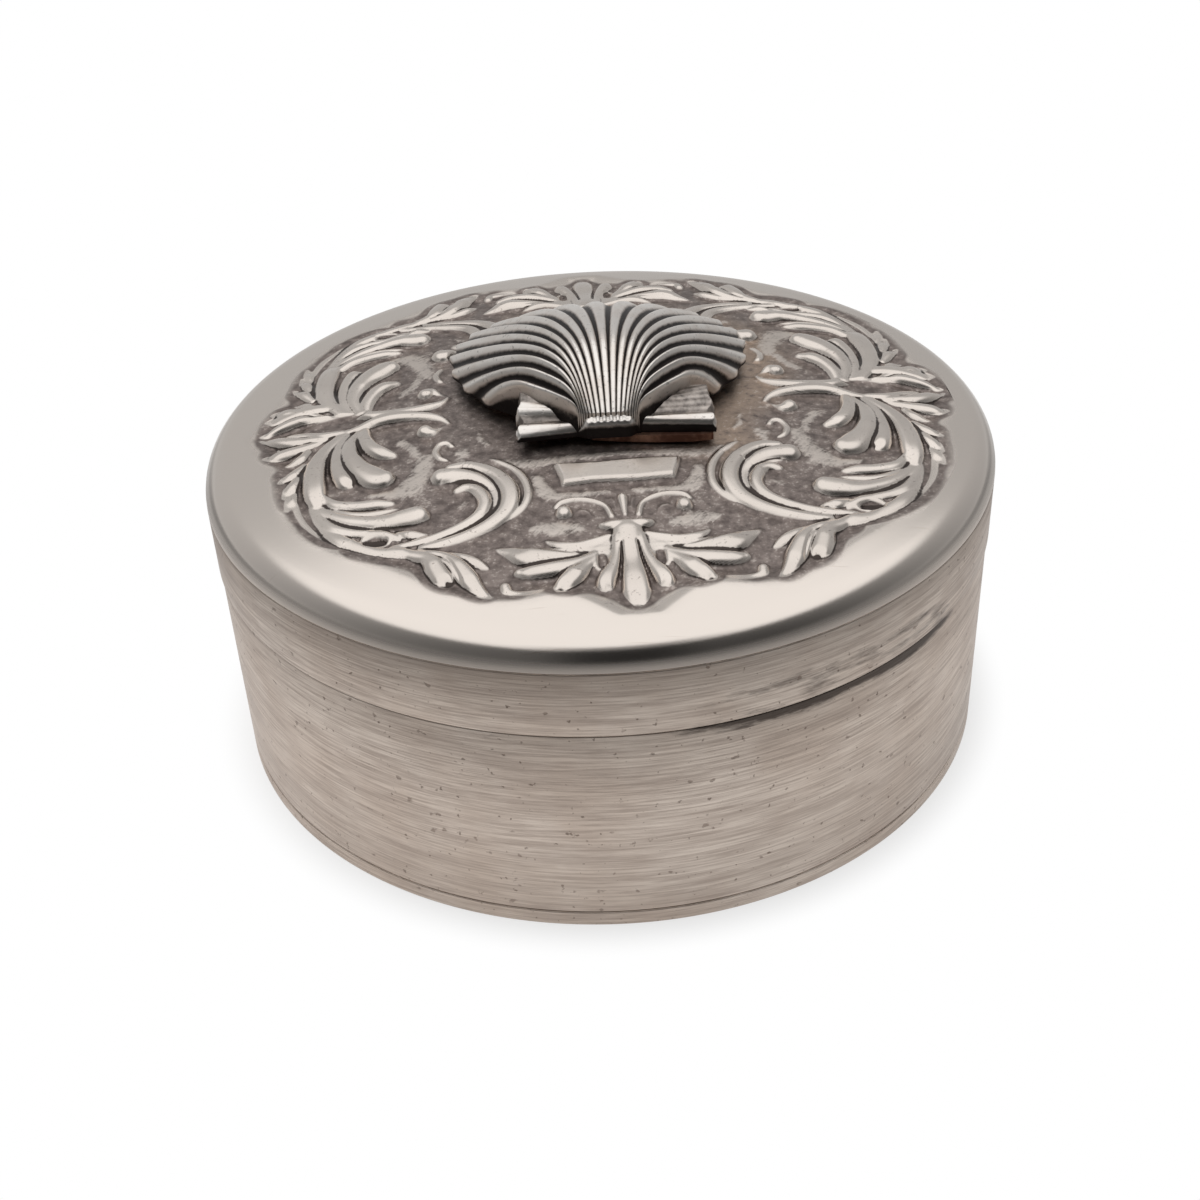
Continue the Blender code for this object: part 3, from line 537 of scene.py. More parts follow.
def arc_points(centre_radius, centre_height, radius, turns):
    """Points of an arc in a profile, at turns from straight up."""
    return [(centre_radius + radius * math.sin(a), centre_height + radius * math.cos(a)) for a in turns]


def round_corner(centre_radius, centre_height, first):
    """A small rounded edge: a quarter turn from an angle in degrees."""
    turns = np.radians(np.linspace(first, first + 90, CORNER_STEPS + 1))
    return arc_points(centre_radius, centre_height, EDGE, turns)


def ring_profile(inner, outer, low, high):
    """A straight wall with softly rounded edges, from its outer top round to the start again."""
    points = round_corner(outer - EDGE, high - EDGE, 0)
    points += round_corner(outer - EDGE, low + EDGE, 90)
    points += round_corner(inner + EDGE, low + EDGE, 180)
    points += round_corner(inner + EDGE, high - EDGE, 270)
    return points


# Materials.

class Value:
    """A socket that can stand in a sum: each operator adds its Math node."""

    def __init__(self, net, socket):
        self.net = net
        self.socket = socket

    def math(self, operation, first, second):
        return self.net.add("ShaderNodeMath", {0: first, 1: second}, operation=operation)

    def __add__(self, other):
        return self.math('ADD', self, other)

    def __radd__(self, other):
        return self.math('ADD', other, self)

    def __sub__(self, other):
        return self.math('SUBTRACT', self, other)

    def __rsub__(self, other):
        return self.math('SUBTRACT', other, self)

    def __mul__(self, other):
        return self.math('MULTIPLY', self, other)

    def __rmul__(self, other):
        return self.math('MULTIPLY', other, self)

    def __truediv__(self, other):
        return self.math('DIVIDE', self, other)

    def __rtruediv__(self, other):
        return self.math('DIVIDE', other, self)

    def __abs__(self):
        return self.net.add("ShaderNodeMath", {0: self}, operation='ABSOLUTE')

    def highest(self, other):
        return self.math('MAXIMUM', self, other)

    def band(self, low, high, start=0.0, end=1.0):
        """Runs smoothly from start to end while the value goes from low to high."""
        values = {"Value": self, "From Min": low, "From Max": high, "To Min": start, "To Max": end}
        return self.net.add("ShaderNodeMapRange", values, interpolation_type='SMOOTHSTEP')


class Net:
    """The nodes of one material, or of the world."""

    # Sockets of a Mix node that mixes colours.
    MIX_SHARE, MIX_FIRST, MIX_SECOND, MIX_COLOR = 0, 6, 7, 2

    def __init__(self, name, world=False):
        self.material = (bpy.data.worlds if world else bpy.data.materials).new(name)
        self.material.use_nodes = True
        self.tree = self.material.node_tree
        self.shader = self.tree.nodes["Background" if world else "Principled BSDF"]
        self.spot = self.add("ShaderNodeTexCoord", out="Generated" if world else "Object")

    def fill(self, node, values):
        """Gives a node's sockets their values or links."""
        for name, value in values.items():
            if isinstance(value, Value):
                self.tree.links.new(value.socket, node.inputs[name])
            else:
                node.inputs[name].default_value = value

    def add(self, kind, values=None, out=0, **settings):
        """One node: its settings first, then its sockets; gives back one of its outputs."""
        node = self.tree.nodes.new(kind)
        for name, setting in settings.items():
            setattr(node, name, setting)
        self.fill(node, values or {})
        return Value(self, node.outputs[out])

    def axis(self, letter):
        return self.add("ShaderNodeSeparateXYZ", {"Vector": self.spot}, out=letter)

    def noise(self, scale, detail, roughness, where=None, distortion=0.0):
        """Clouds or grains: how many to the metre, how many finer layers, and how strong those are."""
        values = {"Vector": where or self.spot, "Scale": scale, "Detail": detail, "Roughness": roughness,
                  "Distortion": distortion}
        return self.add("ShaderNodeTexNoise", values)

    def streaks(self, scale, detail, roughness, shift=(0, 0, 0), distortion=0.0):
        """Noise that is drawn out along the axes where the scale is small."""
        where = self.add("ShaderNodeMapping", {"Vector": self.spot, "Scale": scale, "Location": shift})
        return self.noise(1.0, detail, roughness, where, distortion)

    def attribute(self, name):
        return self.add("ShaderNodeAttribute", out="Fac", attribute_name=name)

    def apart(self, vector):
        """The length of a vector."""
        return self.add("ShaderNodeVectorMath", {0: vector}, out="Value", operation='LENGTH')

    def ray(self, kind):
        """1 for the rays of one kind."""
        return self.add("ShaderNodeLightPath", out=f"Is {kind} Ray")

    def mix(self, share, first, second):
        """Goes from the first colour to the second as the share goes from 0 to 1."""
        first, second = [color if isinstance(color, Value) else (*color, 1) for color in (first, second)]
        values = {self.MIX_SHARE: share, self.MIX_FIRST: first, self.MIX_SECOND: second}
        return self.add("ShaderNodeMix", values, out=self.MIX_COLOR, data_type='RGBA')

    def metal(self, color, roughness, height, strength, depth):
        """Finishes a metal: its colour, its roughness, and a bump of a strength and depth."""
        bump = self.add("ShaderNodeBump", {"Height": height, "Strength": strength, "Distance": depth})
        self.fill(self.shader, {"Base Color": color, "Roughness": roughness, "Metallic": 1.0, "Normal": bump})
        return self.material


# Colours of the silver, from its polished edges to the tarnish in its hollows; the darkest also serve as
# painted shade.
BRIGHT = (0.95, 0.90, 0.85)
POLISHED = (0.84, 0.765, 0.70)
WORN = (0.75, 0.68, 0.62)
SATIN = (0.76, 0.665, 0.585)
SATIN_WARM = (0.65, 0.545, 0.465)
SATIN_LINE = (0.43, 0.35, 0.30)
RIB_FLANK = (0.60, 0.53, 0.48)
RIB_GROOVE = (0.034, 0.029, 0.028)
FURROW = (0.07, 0.056, 0.05)
TARNISH = (0.145, 0.118, 0.108)
TARNISH_PALE = (0.34, 0.285, 0.26)
TARNISH_BROWN = (0.16, 0.11, 0.085)
TARNISH_DEEP = (0.075, 0.058, 0.05)
HEAT_BROWN = (0.44, 0.34, 0.27)
COLLAR_DARK = (0.06, 0.047, 0.04)
COLLAR_PALE = (0.26, 0.20, 0.165)
COPPER_STAIN = (0.17, 0.085, 0.06)
COPPER = (0.48, 0.29, 0.21)

# Grime on the wall and the band: the heights where it starts and where it is full, and how much there is.
WALL_GRIME = (WALL_HIGH[2] - 1.4 * MM, WALL_HIGH[2] - 0.1 * MM, 1.0)
BAND_GRIME = (BAND_LOW[2] + 3.0 * MM, BAND_LOW[2] + 1.2 * MM, 0.5)
# It starts left of the middle, is thickest on the right and ends short of the side.
GRIME_LEFT = (-18 * MM, -5 * MM)
GRIME_RIGHT = (1 * MM, 9 * MM)
GRIME_END = (18.5 * MM, 22.5 * MM)
# The band is painted a little darker than the wall: painted shade for the darker surroundings it mirrors.
WALL_SHADE = 1.0
BAND_SHADE = 0.95

# How strongly each mark colours the silver under it.
LINE_STRENGTH = 0.65
STREAK_STRENGTH = 0.42
GRIME_STRENGTH = 0.9
PIT_STRENGTH = 0.45
DENT_STRENGTH = 0.5
SPECK_STRENGTH = 0.45
RUB_STRENGTH = 0.85
STAIN_STRENGTH = 0.6
SCRATCH_STRENGTH = 0.3
FOOT_STRENGTH = 0.3
PITTING_STRENGTH = 0.35


def shaded(color, share):
    return tuple(part * share for part in color)


def turned_silver(name, shade, grime):
    """Satin silver with fine turned lines, streaks and pits, and grime that thickens between two heights."""
    net = Net(name)
    # The shade share scales every colour: painted shade, which darkens the band.
    satin, warm, line = [shaded(color, shade) for color in (SATIN, SATIN_WARM, SATIN_LINE)]
    lines = net.streaks((260, 260, 9000), 3, 0.65)
    broad = net.streaks((110, 110, 1100), 4, 0.65, shift=(3, 1, 2))
    blotch = net.streaks((330, 330, 1500), 4, 0.65, shift=(2, 7, 0))
    dents = net.streaks((1300, 1300, 1700), 2, 0.5, shift=(5, 0, 0)).band(0.69, 0.75)
    pits = net.noise(2600, 2, 0.5).band(0.68, 0.75)
    cloud = net.noise(110, 4, 0.6)
    worn = net.mix(cloud.band(0.35, 0.65), warm, satin)
    lined = net.mix(lines.band(0.35, 0.7) * LINE_STRENGTH, worn, line)
    streaked = net.mix(broad.band(0.44, 0.66) * STREAK_STRENGTH, lined, line)
    across = net.axis("X")
    place = across.band(*GRIME_LEFT, 0.0, 0.42) + across.band(*GRIME_RIGHT, 0.0, 0.6)
    place = place * across.band(*GRIME_END, 1.0, 0.0)
    start, full, most = grime
    foul = (net.axis("Z").band(start, full) * place * most + blotch * 1.3 - 0.98).band(0.08, 0.55)
    fouled = net.mix(foul * GRIME_STRENGTH, streaked, TARNISH_DEEP)
    color = net.mix((pits * PIT_STRENGTH).highest(dents * DENT_STRENGTH), fouled, TARNISH_BROWN)
    rough = lines.band(0.2, 0.8, 0.36, 0.52) + pits * 0.2
    height = lines * 0.7 + broad * 0.8 - pits * 0.8 - dents
    return net.metal(color, rough, height, strength=0.4, depth=0.03 * MM)


def struck_silver():
    """The lid's plate: pale polished border and shoulder, oxidised ground, rubbed high points."""
    net = Net("struck_silver")
    ground, heat, hollow, rubbed, inside = [net.attribute(name) for name in FINISH_FIELDS]
    fine = net.noise(5200, 2, 0.6)
    mottle = net.noise(1500, 4, 0.65)
    cloud = net.noise(170, 3, 0.6)
    # The ground: mottled tarnish, browned beside the shell, with bright specks and rubbed patches; near forms
    # it is also painted shade.
    slanting = net.add("ShaderNodeMapping", {"Vector": net.spot, "Rotation": (0, 0, 0.9),
                       "Scale": (1 / 700, 1 / 4200, 1 / 700)}, vector_type='TEXTURE')
    hatch = net.noise(1.0, 2, 0.5, slanting).band(0.5, 0.62)
    dark = net.mix(mottle.band(0.25, 0.68), TARNISH, TARNISH_PALE)
    browned = net.mix(heat * mottle.band(0.2, 0.55), dark, HEAT_BROWN)
    specks = (fine * 0.6 + mottle * 0.6).band(0.66, 0.76) * SPECK_STRENGTH
    rub = (rubbed * 0.62 + mottle * 0.6 + fine * 0.5 + hatch * 0.12 - 0.62).band(0.22, 0.6)
    worn_ground = net.mix((rub * RUB_STRENGTH).highest(specks), browned, WORN)
    # The raised ornament: worn silver with small stains, and tarnish in its furrows.
    metal = net.mix(cloud.band(0.35, 0.7), WORN, POLISHED)
    stains = (fine * 0.7 + mottle * 0.5).band(0.70, 0.82) * STAIN_STRENGTH
    stained = net.mix(stains, metal, TARNISH_PALE)
    furrow = (hollow * 1.3 + mottle * 0.9 + fine * 0.6 - 0.88).band(0.2, 0.75)
    raised = net.mix(furrow, stained, FURROW)
    ornament = net.mix((ground + mottle * 0.5 - 0.25).band(0.25, 0.7), raised, worn_ground)
    # The plain border: polished, finely scratched, warmer at the foot of the shoulder.
    scratch = net.streaks((200, 5200, 200), 2, 0.5, shift=(1, 4, 0), distortion=0.4).band(0.68, 0.75)
    foot = net.axis("Z").band(SHOULDER_BASE + 0.1 * MM, SHOULDER_BASE + 1.0 * MM, 1.0, 0.0)
    plain = net.mix((scratch * SCRATCH_STRENGTH).highest(foot * FOOT_STRENGTH), POLISHED, SATIN_WARM)
    color = net.mix(inside, plain, ornament)
    rough = inside * 0.05 + 0.18 + ground * 0.22 + hollow * 0.1 + foot * 0.16
    height = (fine * 0.5 + mottle) * ground + fine * 0.05 + hatch * rubbed * 0.2
    return net.metal(color, rough, height, strength=0.6, depth=0.06 * MM)


def cast_silver():
    """The shell: bright worn ribs and near-black grooves."""
    net = Net("cast_silver")
    groove = net.attribute("groove")
    fine = net.noise(1800, 4, 0.65)
    cloud = net.noise(420, 3, 0.6)
    pitted = net.noise(3600, 3, 0.6).band(0.58, 0.72)
    worn = net.mix(cloud.band(0.25, 0.6), POLISHED, BRIGHT)
    # Flanks darken towards the grooves, which go near-black: partly tarnish, partly painted shade, also on
    # the ears' front face and under the shell's edges.
    flank = net.mix(groove.band(0.25, 0.7), worn, RIB_FLANK)
    depth = (groove + fine * 0.4 - 0.2).band(0.42, 0.8)
    color = net.mix((pitted * PITTING_STRENGTH).highest(depth), flank, RIB_GROOVE)
    rough = groove.band(0, 1, 0.28, 0.5)
    return net.metal(color, rough, fine - pitted * 0.5, strength=0.45, depth=0.05 * MM)


def tarnished_silver():
    """The collar: tarnished outside where the lid slides, plain brown-grey silver inside."""
    net = Net("tarnished_silver")
    patch = net.streaks((500, 500, 2500), 4, 0.65)
    flat = net.add("ShaderNodeVectorMath", {0: net.spot, 1: (1, 1, 0)}, operation='MULTIPLY')
    outside = net.apart(flat).band(COLLAR_RADIUS - 0.3 * MM, COLLAR_RADIUS - 0.1 * MM)
    dark = net.mix(patch.band(0.4, 0.75), COLLAR_DARK, COLLAR_PALE)
    plain = net.mix(patch.band(0.35, 0.7), SATIN_LINE, SATIN_WARM)
    rough = patch.band(0.2, 0.8, 0.55, 0.4)
    return net.metal(net.mix(outside, plain, dark), rough, patch, strength=0.4, depth=0.05 * MM)


def stained_copper():
    """The plate under the shell: copper colour, browned by heat."""
    net = Net("stained_copper")
    stain = net.noise(700, 4, 0.65)
    color = net.mix(stain.band(0.35, 0.7), COPPER_STAIN, COPPER)
    return net.metal(color, stain.band(0.2, 0.8, 0.6, 0.4), stain, strength=0.4, depth=0.05 * MM)


def set_attribute(mesh, name, values):
    layer = mesh.attributes.new(name, 'FLOAT', 'POINT')
    layer.data.foreach_set("value", np.asarray(values, np.float32))


def read_points(mesh):
    flat = np.empty(len(mesh.vertices) * 3)
    mesh.vertices.foreach_get("co", flat)
    return flat.reshape(-1, 3)


def write_points(mesh, points):
    mesh.vertices.foreach_set("co", points.astype(np.float32).ravel())
    mesh.update()


def new_grid(across, along):
    """A fresh square grid from -1 to 1; gives back its mesh."""
    bpy.ops.object.select_all(action='DESELECT')
    bpy.ops.mesh.primitive_grid_add(x_subdivisions=across, y_subdivisions=along, size=2)
    return bpy.context.object.data


# The base and the lid's band.

def make_base(silver, dark):
    plate = round_corner(WALL_RADIUS - EDGE, PLATE_TOP - EDGE, 0)
    plate += round_corner(WALL_RADIUS - EDGE, EDGE, 90)
    turned_piece([(POLE_RADIUS, PLATE_TOP), *plate, (0, 0)])
    new_piece("base_plate_fine", "base", "base_plate", silver)
    turned_piece(ring_profile(WALL_RADIUS - WALL_SHEET, WALL_RADIUS, WALL_LOW[2], WALL_HIGH[2]))
    new_piece("base_wall_fine", "base", "base_wall", silver)
    turned_piece(ring_profile(COLLAR_RADIUS - COLLAR_SHEET, COLLAR_RADIUS, COLLAR_LOW[2], COLLAR_HIGH[2]))
    new_piece("base_collar_fine", "base", "base_collar", dark)


def make_band(silver):
    turned_piece(ring_profile(LID_RADIUS - LID_SHEET, LID_RADIUS, BAND_LOW[2] - BAND_LIP, BAND_HIGH[2]))
    new_piece("lid_band_fine", "lid", "lid_band", silver)


# The struck plate.

def disc_places(grid):
    """Moves the points of a square grid from -1 to 1 onto a unit disc, evenly."""
    a, b = grid[:, 0], grid[:, 1]
    wide = np.abs(a) > np.abs(b)
    safe_a = np.where(np.abs(a) < TINY, TINY, a)
    safe_b = np.where(np.abs(b) < TINY, TINY, b)
    radius = np.where(wide, a, b)
    turn = np.where(wide, math.pi / 4 * b / safe_a, math.pi / 2 - math.pi / 4 * a / safe_b)
    return np.stack([radius * np.cos(turn), radius * np.sin(turn)], 1)


def dome_height(radius):
    return DOME_CENTRE + np.sqrt(DOME_RADIUS ** 2 - radius ** 2)


def blurred(values, passes):
    """Averages each value of a square grid with its neighbours, a number of times."""
    steps = np.arange(len(values))
    before = np.maximum(steps - 1, 0)
    after = np.minimum(steps + 1, steps[-1])
    for _ in range(passes):
        values = (values[before] + 2 * values + values[after]) / 4
        values = (values[:, before] + 2 * values + values[:, after]) / 4
    return values


def struck_fields():
    """The whole struck disc on one square grid: the places of its points, and what its finish follows."""
    side = np.linspace(-1, 1, FIELD_STEPS + 1)
    across, along = np.meshgrid(side, side)
    flat = disc_places(np.column_stack([across.ravel(), along.ravel()])) * PANEL_RADIUS
    parts = [part.reshape(across.shape) for part in struck_relief(flat / MM)]
    sharp, raised, inside, bare, rubbed, heat = parts
    relief = blurred(sharp, EDGE_SOFTENING)
    height = dome_height(np.hypot(*flat.T)).reshape(across.shape) + relief * MM
    # Ground is tarnished well inside its outline, and painted dark near forms as their shade, but not at the
    # bottom of a cut.
    ornament = ease((inside + GROUND_EDGE) / 0.9)
    among_forms = blurred(ease((raised - 0.1) / 0.2), FORM_SPREAD)
    tarnish_and_shade = np.maximum(ease((inside - 1.3) / 1.6), ease(among_forms * 3.4))
    cut = ease((-0.15 - raised) / 0.2)
    cavity = blurred(sharp, HOLLOW_SPREAD) - relief
    return {"places": np.dstack([flat.reshape(*across.shape, 2), height]),
            "ground": blurred(bare, EDGE_SOFTENING) * tarnish_and_shade * (1 - cut),
            "browned": heat,
            "hollow": np.maximum(ease(cavity / FULL_HOLLOW) * ornament, cut),
            "rubbed": blurred(rubbed, RUB_SOFTENING),
            "inside": ornament}


def make_struck_quarter(name, fields, column, row, silver):
    """One quarter of the struck disc, shaped from a grid."""
    half = FIELD_STEPS // 2
    mesh = new_grid(half, half)
    part = (slice(row * half, (row + 1) * half + 1), slice(column * half, (column + 1) * half + 1))
    write_points(mesh, fields["places"][part].reshape(-1, 3))
    for field in FINISH_FIELDS:
        set_attribute(mesh, field, fields[field][part].ravel())
    start_edit()
    end_edit()
    new_piece(name, "lid", "lid_top", silver)


def make_lid_border(silver):
    """The plain border, the shoulder and the underside, turned as one ring round the struck disc."""
    turns = np.linspace(DOME_SLOPE, math.pi / 2, SHOULDER_STEPS)
    profile = [(r, float(dome_height(r))) for r in (PANEL_RADIUS, (PANEL_RADIUS + SHOULDER_CENTRE) / 2)]
    profile += arc_points(SHOULDER_CENTRE, SHOULDER_BASE, SHOULDER_RADIUS, turns)
    profile += arc_points(SHOULDER_CENTRE, SHOULDER_BASE, SHOULDER_RADIUS - LID_SHEET, turns[::-2])
    under = LID_SHEET + SINK * MM
    inwards = np.linspace(SHOULDER_CENTRE - UNDERSIDE_EDGE, 0, UNDERSIDE_STEPS)
    profile += [(r, float(dome_height(r)) - under) for r in inwards]
    turned_piece(profile)
    new_piece("lid_border", "lid", "lid_top", silver)


def make_lid_top(silver):
    fields = struck_fields()
    for name, (column, row) in QUARTERS.items():
        make_struck_quarter(name, fields, column, row, silver)
    make_lid_border(silver)


# The cast shell and its plate.

def fan_surface(share, run):
    """Places of the shell's fan, in millimetres above its base, and the groove depth there.

    The share goes from one side to the other, and the run from the umbo to the rim.
    """
    off = np.abs(share)
    outer = off ** 4
    # Grooves are wide at the sides and the rim, and narrow in the middle and at the umbo.
    wave = 0.5 + 0.5 * np.cos(math.pi * (share + 1) * RIB_COUNT)
    groove = wave ** (0.9 + 0.8 * (1 - ease(off / 0.5)) + 1.5 * (1 - ease(run / 0.45)))
    side = ease((off - 0.955) / 0.015)
    # Each rib runs on one bend from the umbo to the rim, longer drawn in the middle.
    spread = share * 0.5 + np.tanh(share * 2.2) / math.tanh(2.2) * 0.5
    left = UMBO_SHIFT - 0.45
    start = np.stack([left + spread * UMBO_WIDTH / 2, np.full_like(share, -UMBO_REACH - 0.15)], 1)
    end = fan_rim(share * RIM_SPREAD, SCALLOP * groove)
    length = np.hypot(*(end - start).T)
    way = np.stack([np.sin(share * START_SPREAD), np.cos(share * START_SPREAD)], 1)
    bend = start + way * ((0.56 - 0.68 * share ** 2) * length)[:, None]
    part = run[:, None]
    place = start * (1 - part) ** 2 + bend * 2 * part * (1 - part) + end * part ** 2
    # It climbs steeply to its crest and falls slowly to the rim.
    far = length * run
    peak = np.minimum(CREST_RUN, (0.78 - 0.08 * outer) * length)
    crest = SHELL_CREST * (1 - 0.56 * share ** 6)
    rim = SHELL_RIM + 0.24 * share ** 2
    climb = 1 - np.clip(1 - far / peak, 0, 1) ** (2.2 + 0.5 * outer)
    fall = np.clip((far - peak) / (length - peak), 0, 1) ** (1.75 + 0.6 * outer)
    height = np.where(far < peak, UMBO_RISE + (crest - UMBO_RISE) * climb, crest + (rim - crest) * fall)
    depth = np.minimum(RIB_DEPTH, 0.07 + 0.5 * run) * (1 - 0.45 * ease((run - 0.8) / 0.2))
    height = np.maximum((height - groove * depth) * (1 - 0.3 * side), FAN_LIFT)
    # The darkness given back is tarnish and painted shade in the grooves, and painted shade along the outer
    # edge.
    worn = 1 - 0.3 * ease((run - 0.5) / 0.35) * (1 - share ** 2)
    return place, height, np.maximum(groove * worn, side * 0.75)


def make_cast_piece(name, steps, surface, wall, silver):
    """A grid laid over part of the shell by a function of its two shares, with a wall down to the base."""
    mesh = new_grid(*steps)
    grid = read_points(mesh)
    place, height, groove = surface(grid[:, 0], (grid[:, 1] + 1) / 2)
    lid = turn_points(place, SHELL_TURN, SHELL_SHIFT) * MM
    write_points(mesh, np.column_stack([lid, SHELL_BASE + height * MM]))
    count = len(mesh.vertices)
    start_edit()
    bpy.ops.mesh.region_to_loop()
    bpy.ops.mesh.extrude_region_move()
    bpy.ops.object.mode_set(mode='OBJECT')
    points = read_points(mesh)
    points[count:, 2] = SHELL_BASE
    write_points(mesh, points)
    # The wall down to the base takes the given darkness: painted shade under the shell's edge.
    extra = np.full(len(mesh.vertices) - count, wall)
    set_attribute(mesh, "groove", np.concatenate([groove, extra]))
    bpy.ops.object.mode_set(mode='EDIT')
    bpy.ops.mesh.edge_face_add()
    end_edit()
    new_piece(name, "lid", "shell", silver)


def shell_fan(share, run):
    """The fan between its outermost ribs, with closer rows near the umbo, where it is steep."""
    return fan_surface(share * 0.97, run ** 1.2)


def shell_ears(share, back):
    """The two ears: a front lip, a hollow and a back that climbs to the fan, with a knob between them."""
    side = np.abs(share)
    middle = 1 - ease((np.abs(share - KNOB_SHARE) - 0.2) / 0.12)
    left = ease(0.5 - share * 4) * (1 - middle)
    right = 1 - left - middle
    # The left, middle and right each have a section of their own, which shortens towards the knob.
    deep = back * EAR_DEPTH
    reach = deep / (0.42 + 0.58 * np.maximum(side, 0.2)) * (1 - middle) + deep * middle
    sections = ((left, EAR_LEFT), (middle, EAR_MIDDLE), (right, EAR_RIGHT))
    height = sum(part * np.interp(reach, *np.array(knots).T) for part, knots in sections)
    streaks = 0.014 * np.sin(reach * 11 + share * 6) * ease((reach - 0.7) / 0.4)
    lumps = 0.08 + 0.06 * np.sin(share * 95) + 0.05 * np.sin(deep * 17)
    knob = lumps * bell(share, KNOB_SHARE, 0.2) * bell(deep, 0.4, 0.3)
    height = (height + streaks * (1 - middle) + knob) * (0.6 + 0.4 * ease((1 - side) / 0.03))
    # The ends are drawn in behind the lip, and the front edge bows in beside the knob.
    notch = 0.055 * bell(deep, 1.15, 0.3, 2) + 0.02 * bell(deep, 0.1, 0.12, 2)
    across = share * EAR_WIDTH / 2 * (1 - notch - 0.03 * ease((deep - 1.8) / 0.6))
    recess = 0.6 * (1 - side) * (1 - back) * (1 - middle)
    place = np.stack([UMBO_SHIFT + across, -UMBO_REACH - EAR_FRONT + deep + recess], 1)
    # Darkening: painted shade on the front face and under the fan, the hollow of the left ear darker, and the
    # right ear streaked.
    face = ease(1 - deep / 0.1)
    sunk = 0.62 * left * ease((reach - 0.55) / 0.3) * ease((1.75 - reach) / 0.3)
    under_fan_shade = 0.6 * left * ease((reach - 2.2) / 0.25)
    streaked = right * ease((reach - 0.65) / 0.25) * (0.6 + 0.035 * np.sin(reach * 14 + share * 5))
    shade = np.max([face, sunk, under_fan_shade, streaked], 0) + 0.25 * middle * ease((deep - 0.2) / 0.3)
    return place, height, np.clip(shade, 0, 1)


def make_shell(silver):
    make_cast_piece("shell_fan", FAN_GRID, shell_fan, FAN_WALL_SHADE, silver)
    make_cast_piece("shell_ears", EARS_GRID, shell_ears, EARS_WALL_SHADE, silver)


def make_pad(copper):
    """The coppery plate under the shell, and the solder that shows under its right-hand front."""
    thick = PAD_HIGH[2] - PAD_LOW[2]
    outlines = {"pad_plate": (shell_plan(PAD_INSET), thick),
                "pad_solder": (np.array(SOLDER), thick + SOLDER_RISE * MM)}
    for name, (outline, high) in outlines.items():
        bpy.ops.object.select_all(action='DESELECT')
        bpy.ops.mesh.primitive_circle_add(vertices=len(outline), radius=1, fill_type='NGON')
        lid = turn_points(outline, SHELL_TURN, SHELL_SHIFT) * MM
        write_points(bpy.context.object.data, np.column_stack([lid, np.full(len(lid), PAD_LOW[2])]))
        start_edit()
        bpy.ops.mesh.extrude_region_move(TRANSFORM_OT_translate={"value": (0, 0, high)})
        end_edit()
        new_piece(name, "lid", "shell_pad", copper)


# Stage, light and camera.

FLOOR_DEPTH = 0.02 * MM
# The floor the camera sees is plain white but for the object's shadow: from the foot of the wall to
# where the shadow ends, and how white it already is at the foot.
SHADOW_START = 24.4 * MM
SHADOW_END = 27.6 * MM
SHADOW_WHITE = 0.66
# The paper that the silver mirrors darkens in two steps, between these distances from the middle.
PAPER_NEAR = (36 * MM, 58 * MM)
PAPER_FAR = (70 * MM, 140 * MM)
# The camera's distance was fitted in radii of the lid, its turns in radians.
FITTED_RADIUS = 25 * MM
CAMERA_DISTANCE = 4.6684 * FITTED_RADIUS
CAMERA_LIFT = 0.6381
CAMERA_YAW = -0.0036
CAMERA_PITCH = 0.0427
CAMERA_ROLL = -0.0462
CAMERA_FOCUS_PIXELS = 1647.66
IMAGE_PIXELS = 1200
SENSOR_WIDTH = 36


def make_floor():
    """White paper: it keeps a soft shadow for the camera, and the silver mirrors it darker further off."""
    bpy.ops.object.select_all(action='DESELECT')
    bpy.ops.mesh.primitive_plane_add(size=4, location=(0, 0, -FLOOR_DEPTH))
    floor = bpy.context.object
    floor.name = "floor"
    net = Net("floor_white")
    net.fill(net.shader, {"Base Color": (0.9, 0.9, 0.9, 1), "Roughness": 0.9, "Specular IOR Level": 0.0})
    seen = net.ray("Camera")
    apart = net.apart(net.spot)
    # It darkens least straight behind the box, and most in front.
    back = net.axis("Y") / apart
    far = apart.band(*PAPER_NEAR)
    further = apart.band(*PAPER_FAR, 1.0, 0.55)
    around = back.band(0.5, 1.0, 0.42, 1.0) * back.band(-0.8, 0.0, 0.68, 1.0) * further
    bright = seen.highest(far * around + (1 - far))
    in_silver = net.ray("Glossy").highest(net.ray("Transmission")) * far.band(0, 1, 0.45, 1.0)
    share = (seen * apart.band(SHADOW_START, SHADOW_END, SHADOW_WHITE, 1.0)).highest(in_silver)
    glow = net.add("ShaderNodeEmission", {"Strength": bright})
    paper = Value(net, net.shader.outputs[0])
    lit = net.add("ShaderNodeMixShader", {0: share, 1: paper, 2: glow})
    net.fill(net.tree.nodes["Material Output"], {"Surface": lit})
    floor.data.materials.append(net.material)


def make_world():
    """A soft room as the shoulder mirrors it: bright ceiling, grey walls, and the dark onlooker in front."""
    net = Net("soft_room", world=True)
    bpy.context.scene.world = net.material
    across = net.axis("X")
    forward = net.axis("Y") * -1
    lift = net.axis("Z")
    # The walls darken towards the camera, and the bright ceiling starts higher there.
    walls = forward.band(-0.9, 0.9, 0.47, 0.08) - across * 0.05 + lift.band(0.0, 0.16, 0.06, 0.0)
    ceiling = (lift - forward.band(-0.75, 0.6, -0.04, 0.06)).band(0.60, 0.75)
    room = walls * (1 - ceiling) + ceiling
    onlooker = abs(across - 0.06).band(0.12, 0.42, 1.0, 0.0)
    onlooker = onlooker * lift.band(0.80, 0.87, 1.0, 0.0) * forward.band(0.25, 0.45)
    level = net.ray("Camera").highest(room * (1 - onlooker * 0.72))
    net.fill(net.shader, {"Strength": level, "Color": (1, 1, 1, 1)})


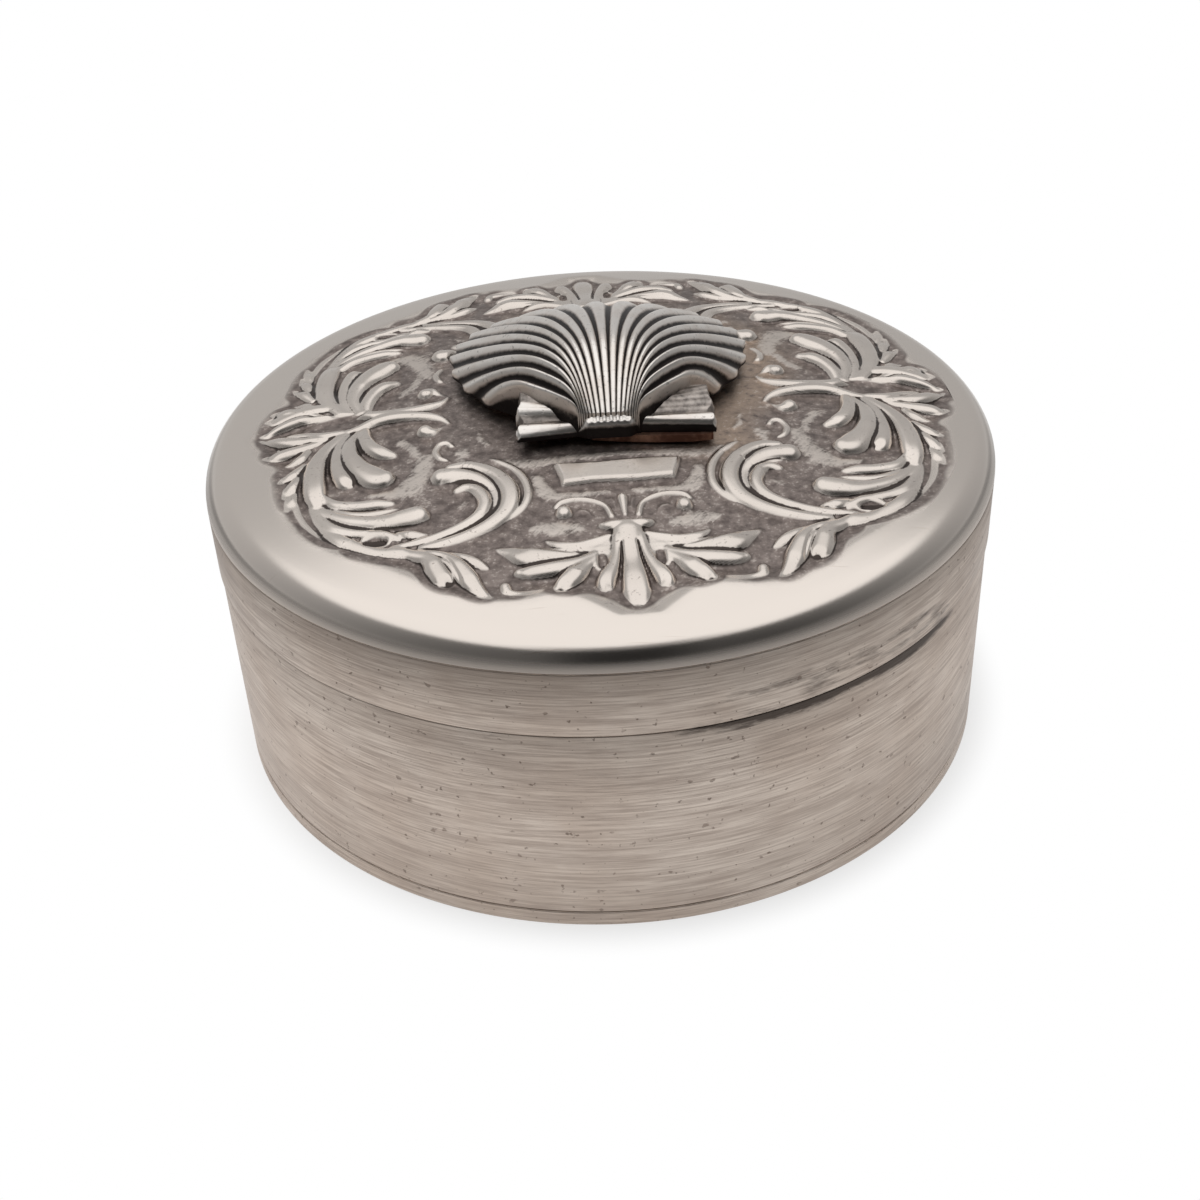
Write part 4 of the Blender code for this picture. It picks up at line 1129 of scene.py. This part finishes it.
def make_window():
    """One soft window behind the box and high up, which the silver doesn't mirror."""
    lamp = bpy.data.lights.new("soft_window", 'AREA')
    lamp.shape = 'RECTANGLE'
    lamp.size = 0.35
    lamp.size_y = 0.35
    lamp.energy = 1.4
    lamp.color = (1.0, 0.98, 0.96)
    window = bpy.data.objects.new("soft_window", lamp)
    bpy.context.scene.collection.objects.link(window)
    window.location = (-0.14, 0.16, 0.55)
    towards = Vector((0, 0, 0.02)) - window.location
    window.rotation_euler = towards.to_track_quat('-Z', 'Y').to_euler()
    window.visible_glossy = False


def make_camera():
    """The camera, fitted to the outlines of the lid, the seam and the foot in the photo."""
    data = bpy.data.cameras.new("camera")
    camera = bpy.data.objects.new("camera", data)
    bpy.context.scene.collection.objects.link(camera)
    bpy.context.scene.camera = camera
    data.sensor_width = SENSOR_WIDTH
    data.lens = CAMERA_FOCUS_PIXELS / IMAGE_PIXELS * SENSOR_WIDTH
    data.clip_start = 1 * MM
    place = Vector((0, -math.cos(CAMERA_LIFT), math.sin(CAMERA_LIFT))) * CAMERA_DISTANCE
    ahead = Vector((0, math.cos(CAMERA_LIFT), -math.sin(CAMERA_LIFT)))
    right = Vector((1, 0, 0))
    up = right.cross(ahead)
    look = (ahead * math.cos(CAMERA_YAW) * math.cos(CAMERA_PITCH)
            + right * math.sin(CAMERA_YAW) * math.cos(CAMERA_PITCH) + up * math.sin(CAMERA_PITCH))
    side = look.cross(up).normalized()
    over = side.cross(look)
    turned_side = side * math.cos(CAMERA_ROLL) + over * math.sin(CAMERA_ROLL)
    turned_over = over * math.cos(CAMERA_ROLL) - side * math.sin(CAMERA_ROLL)
    matrix = Matrix((turned_side, turned_over, -look)).transposed().to_4x4()
    matrix.translation = place
    camera.matrix_world = matrix


make_camera()
make_world()
make_window()
make_floor()
make_base(turned_silver("wall_silver", WALL_SHADE, WALL_GRIME), tarnished_silver())
make_band(turned_silver("band_silver", BAND_SHADE, BAND_GRIME))
make_lid_top(struck_silver())
make_shell(cast_silver())
make_pad(stained_copper())

bpy.context.scene.view_settings.view_transform = 'Standard'
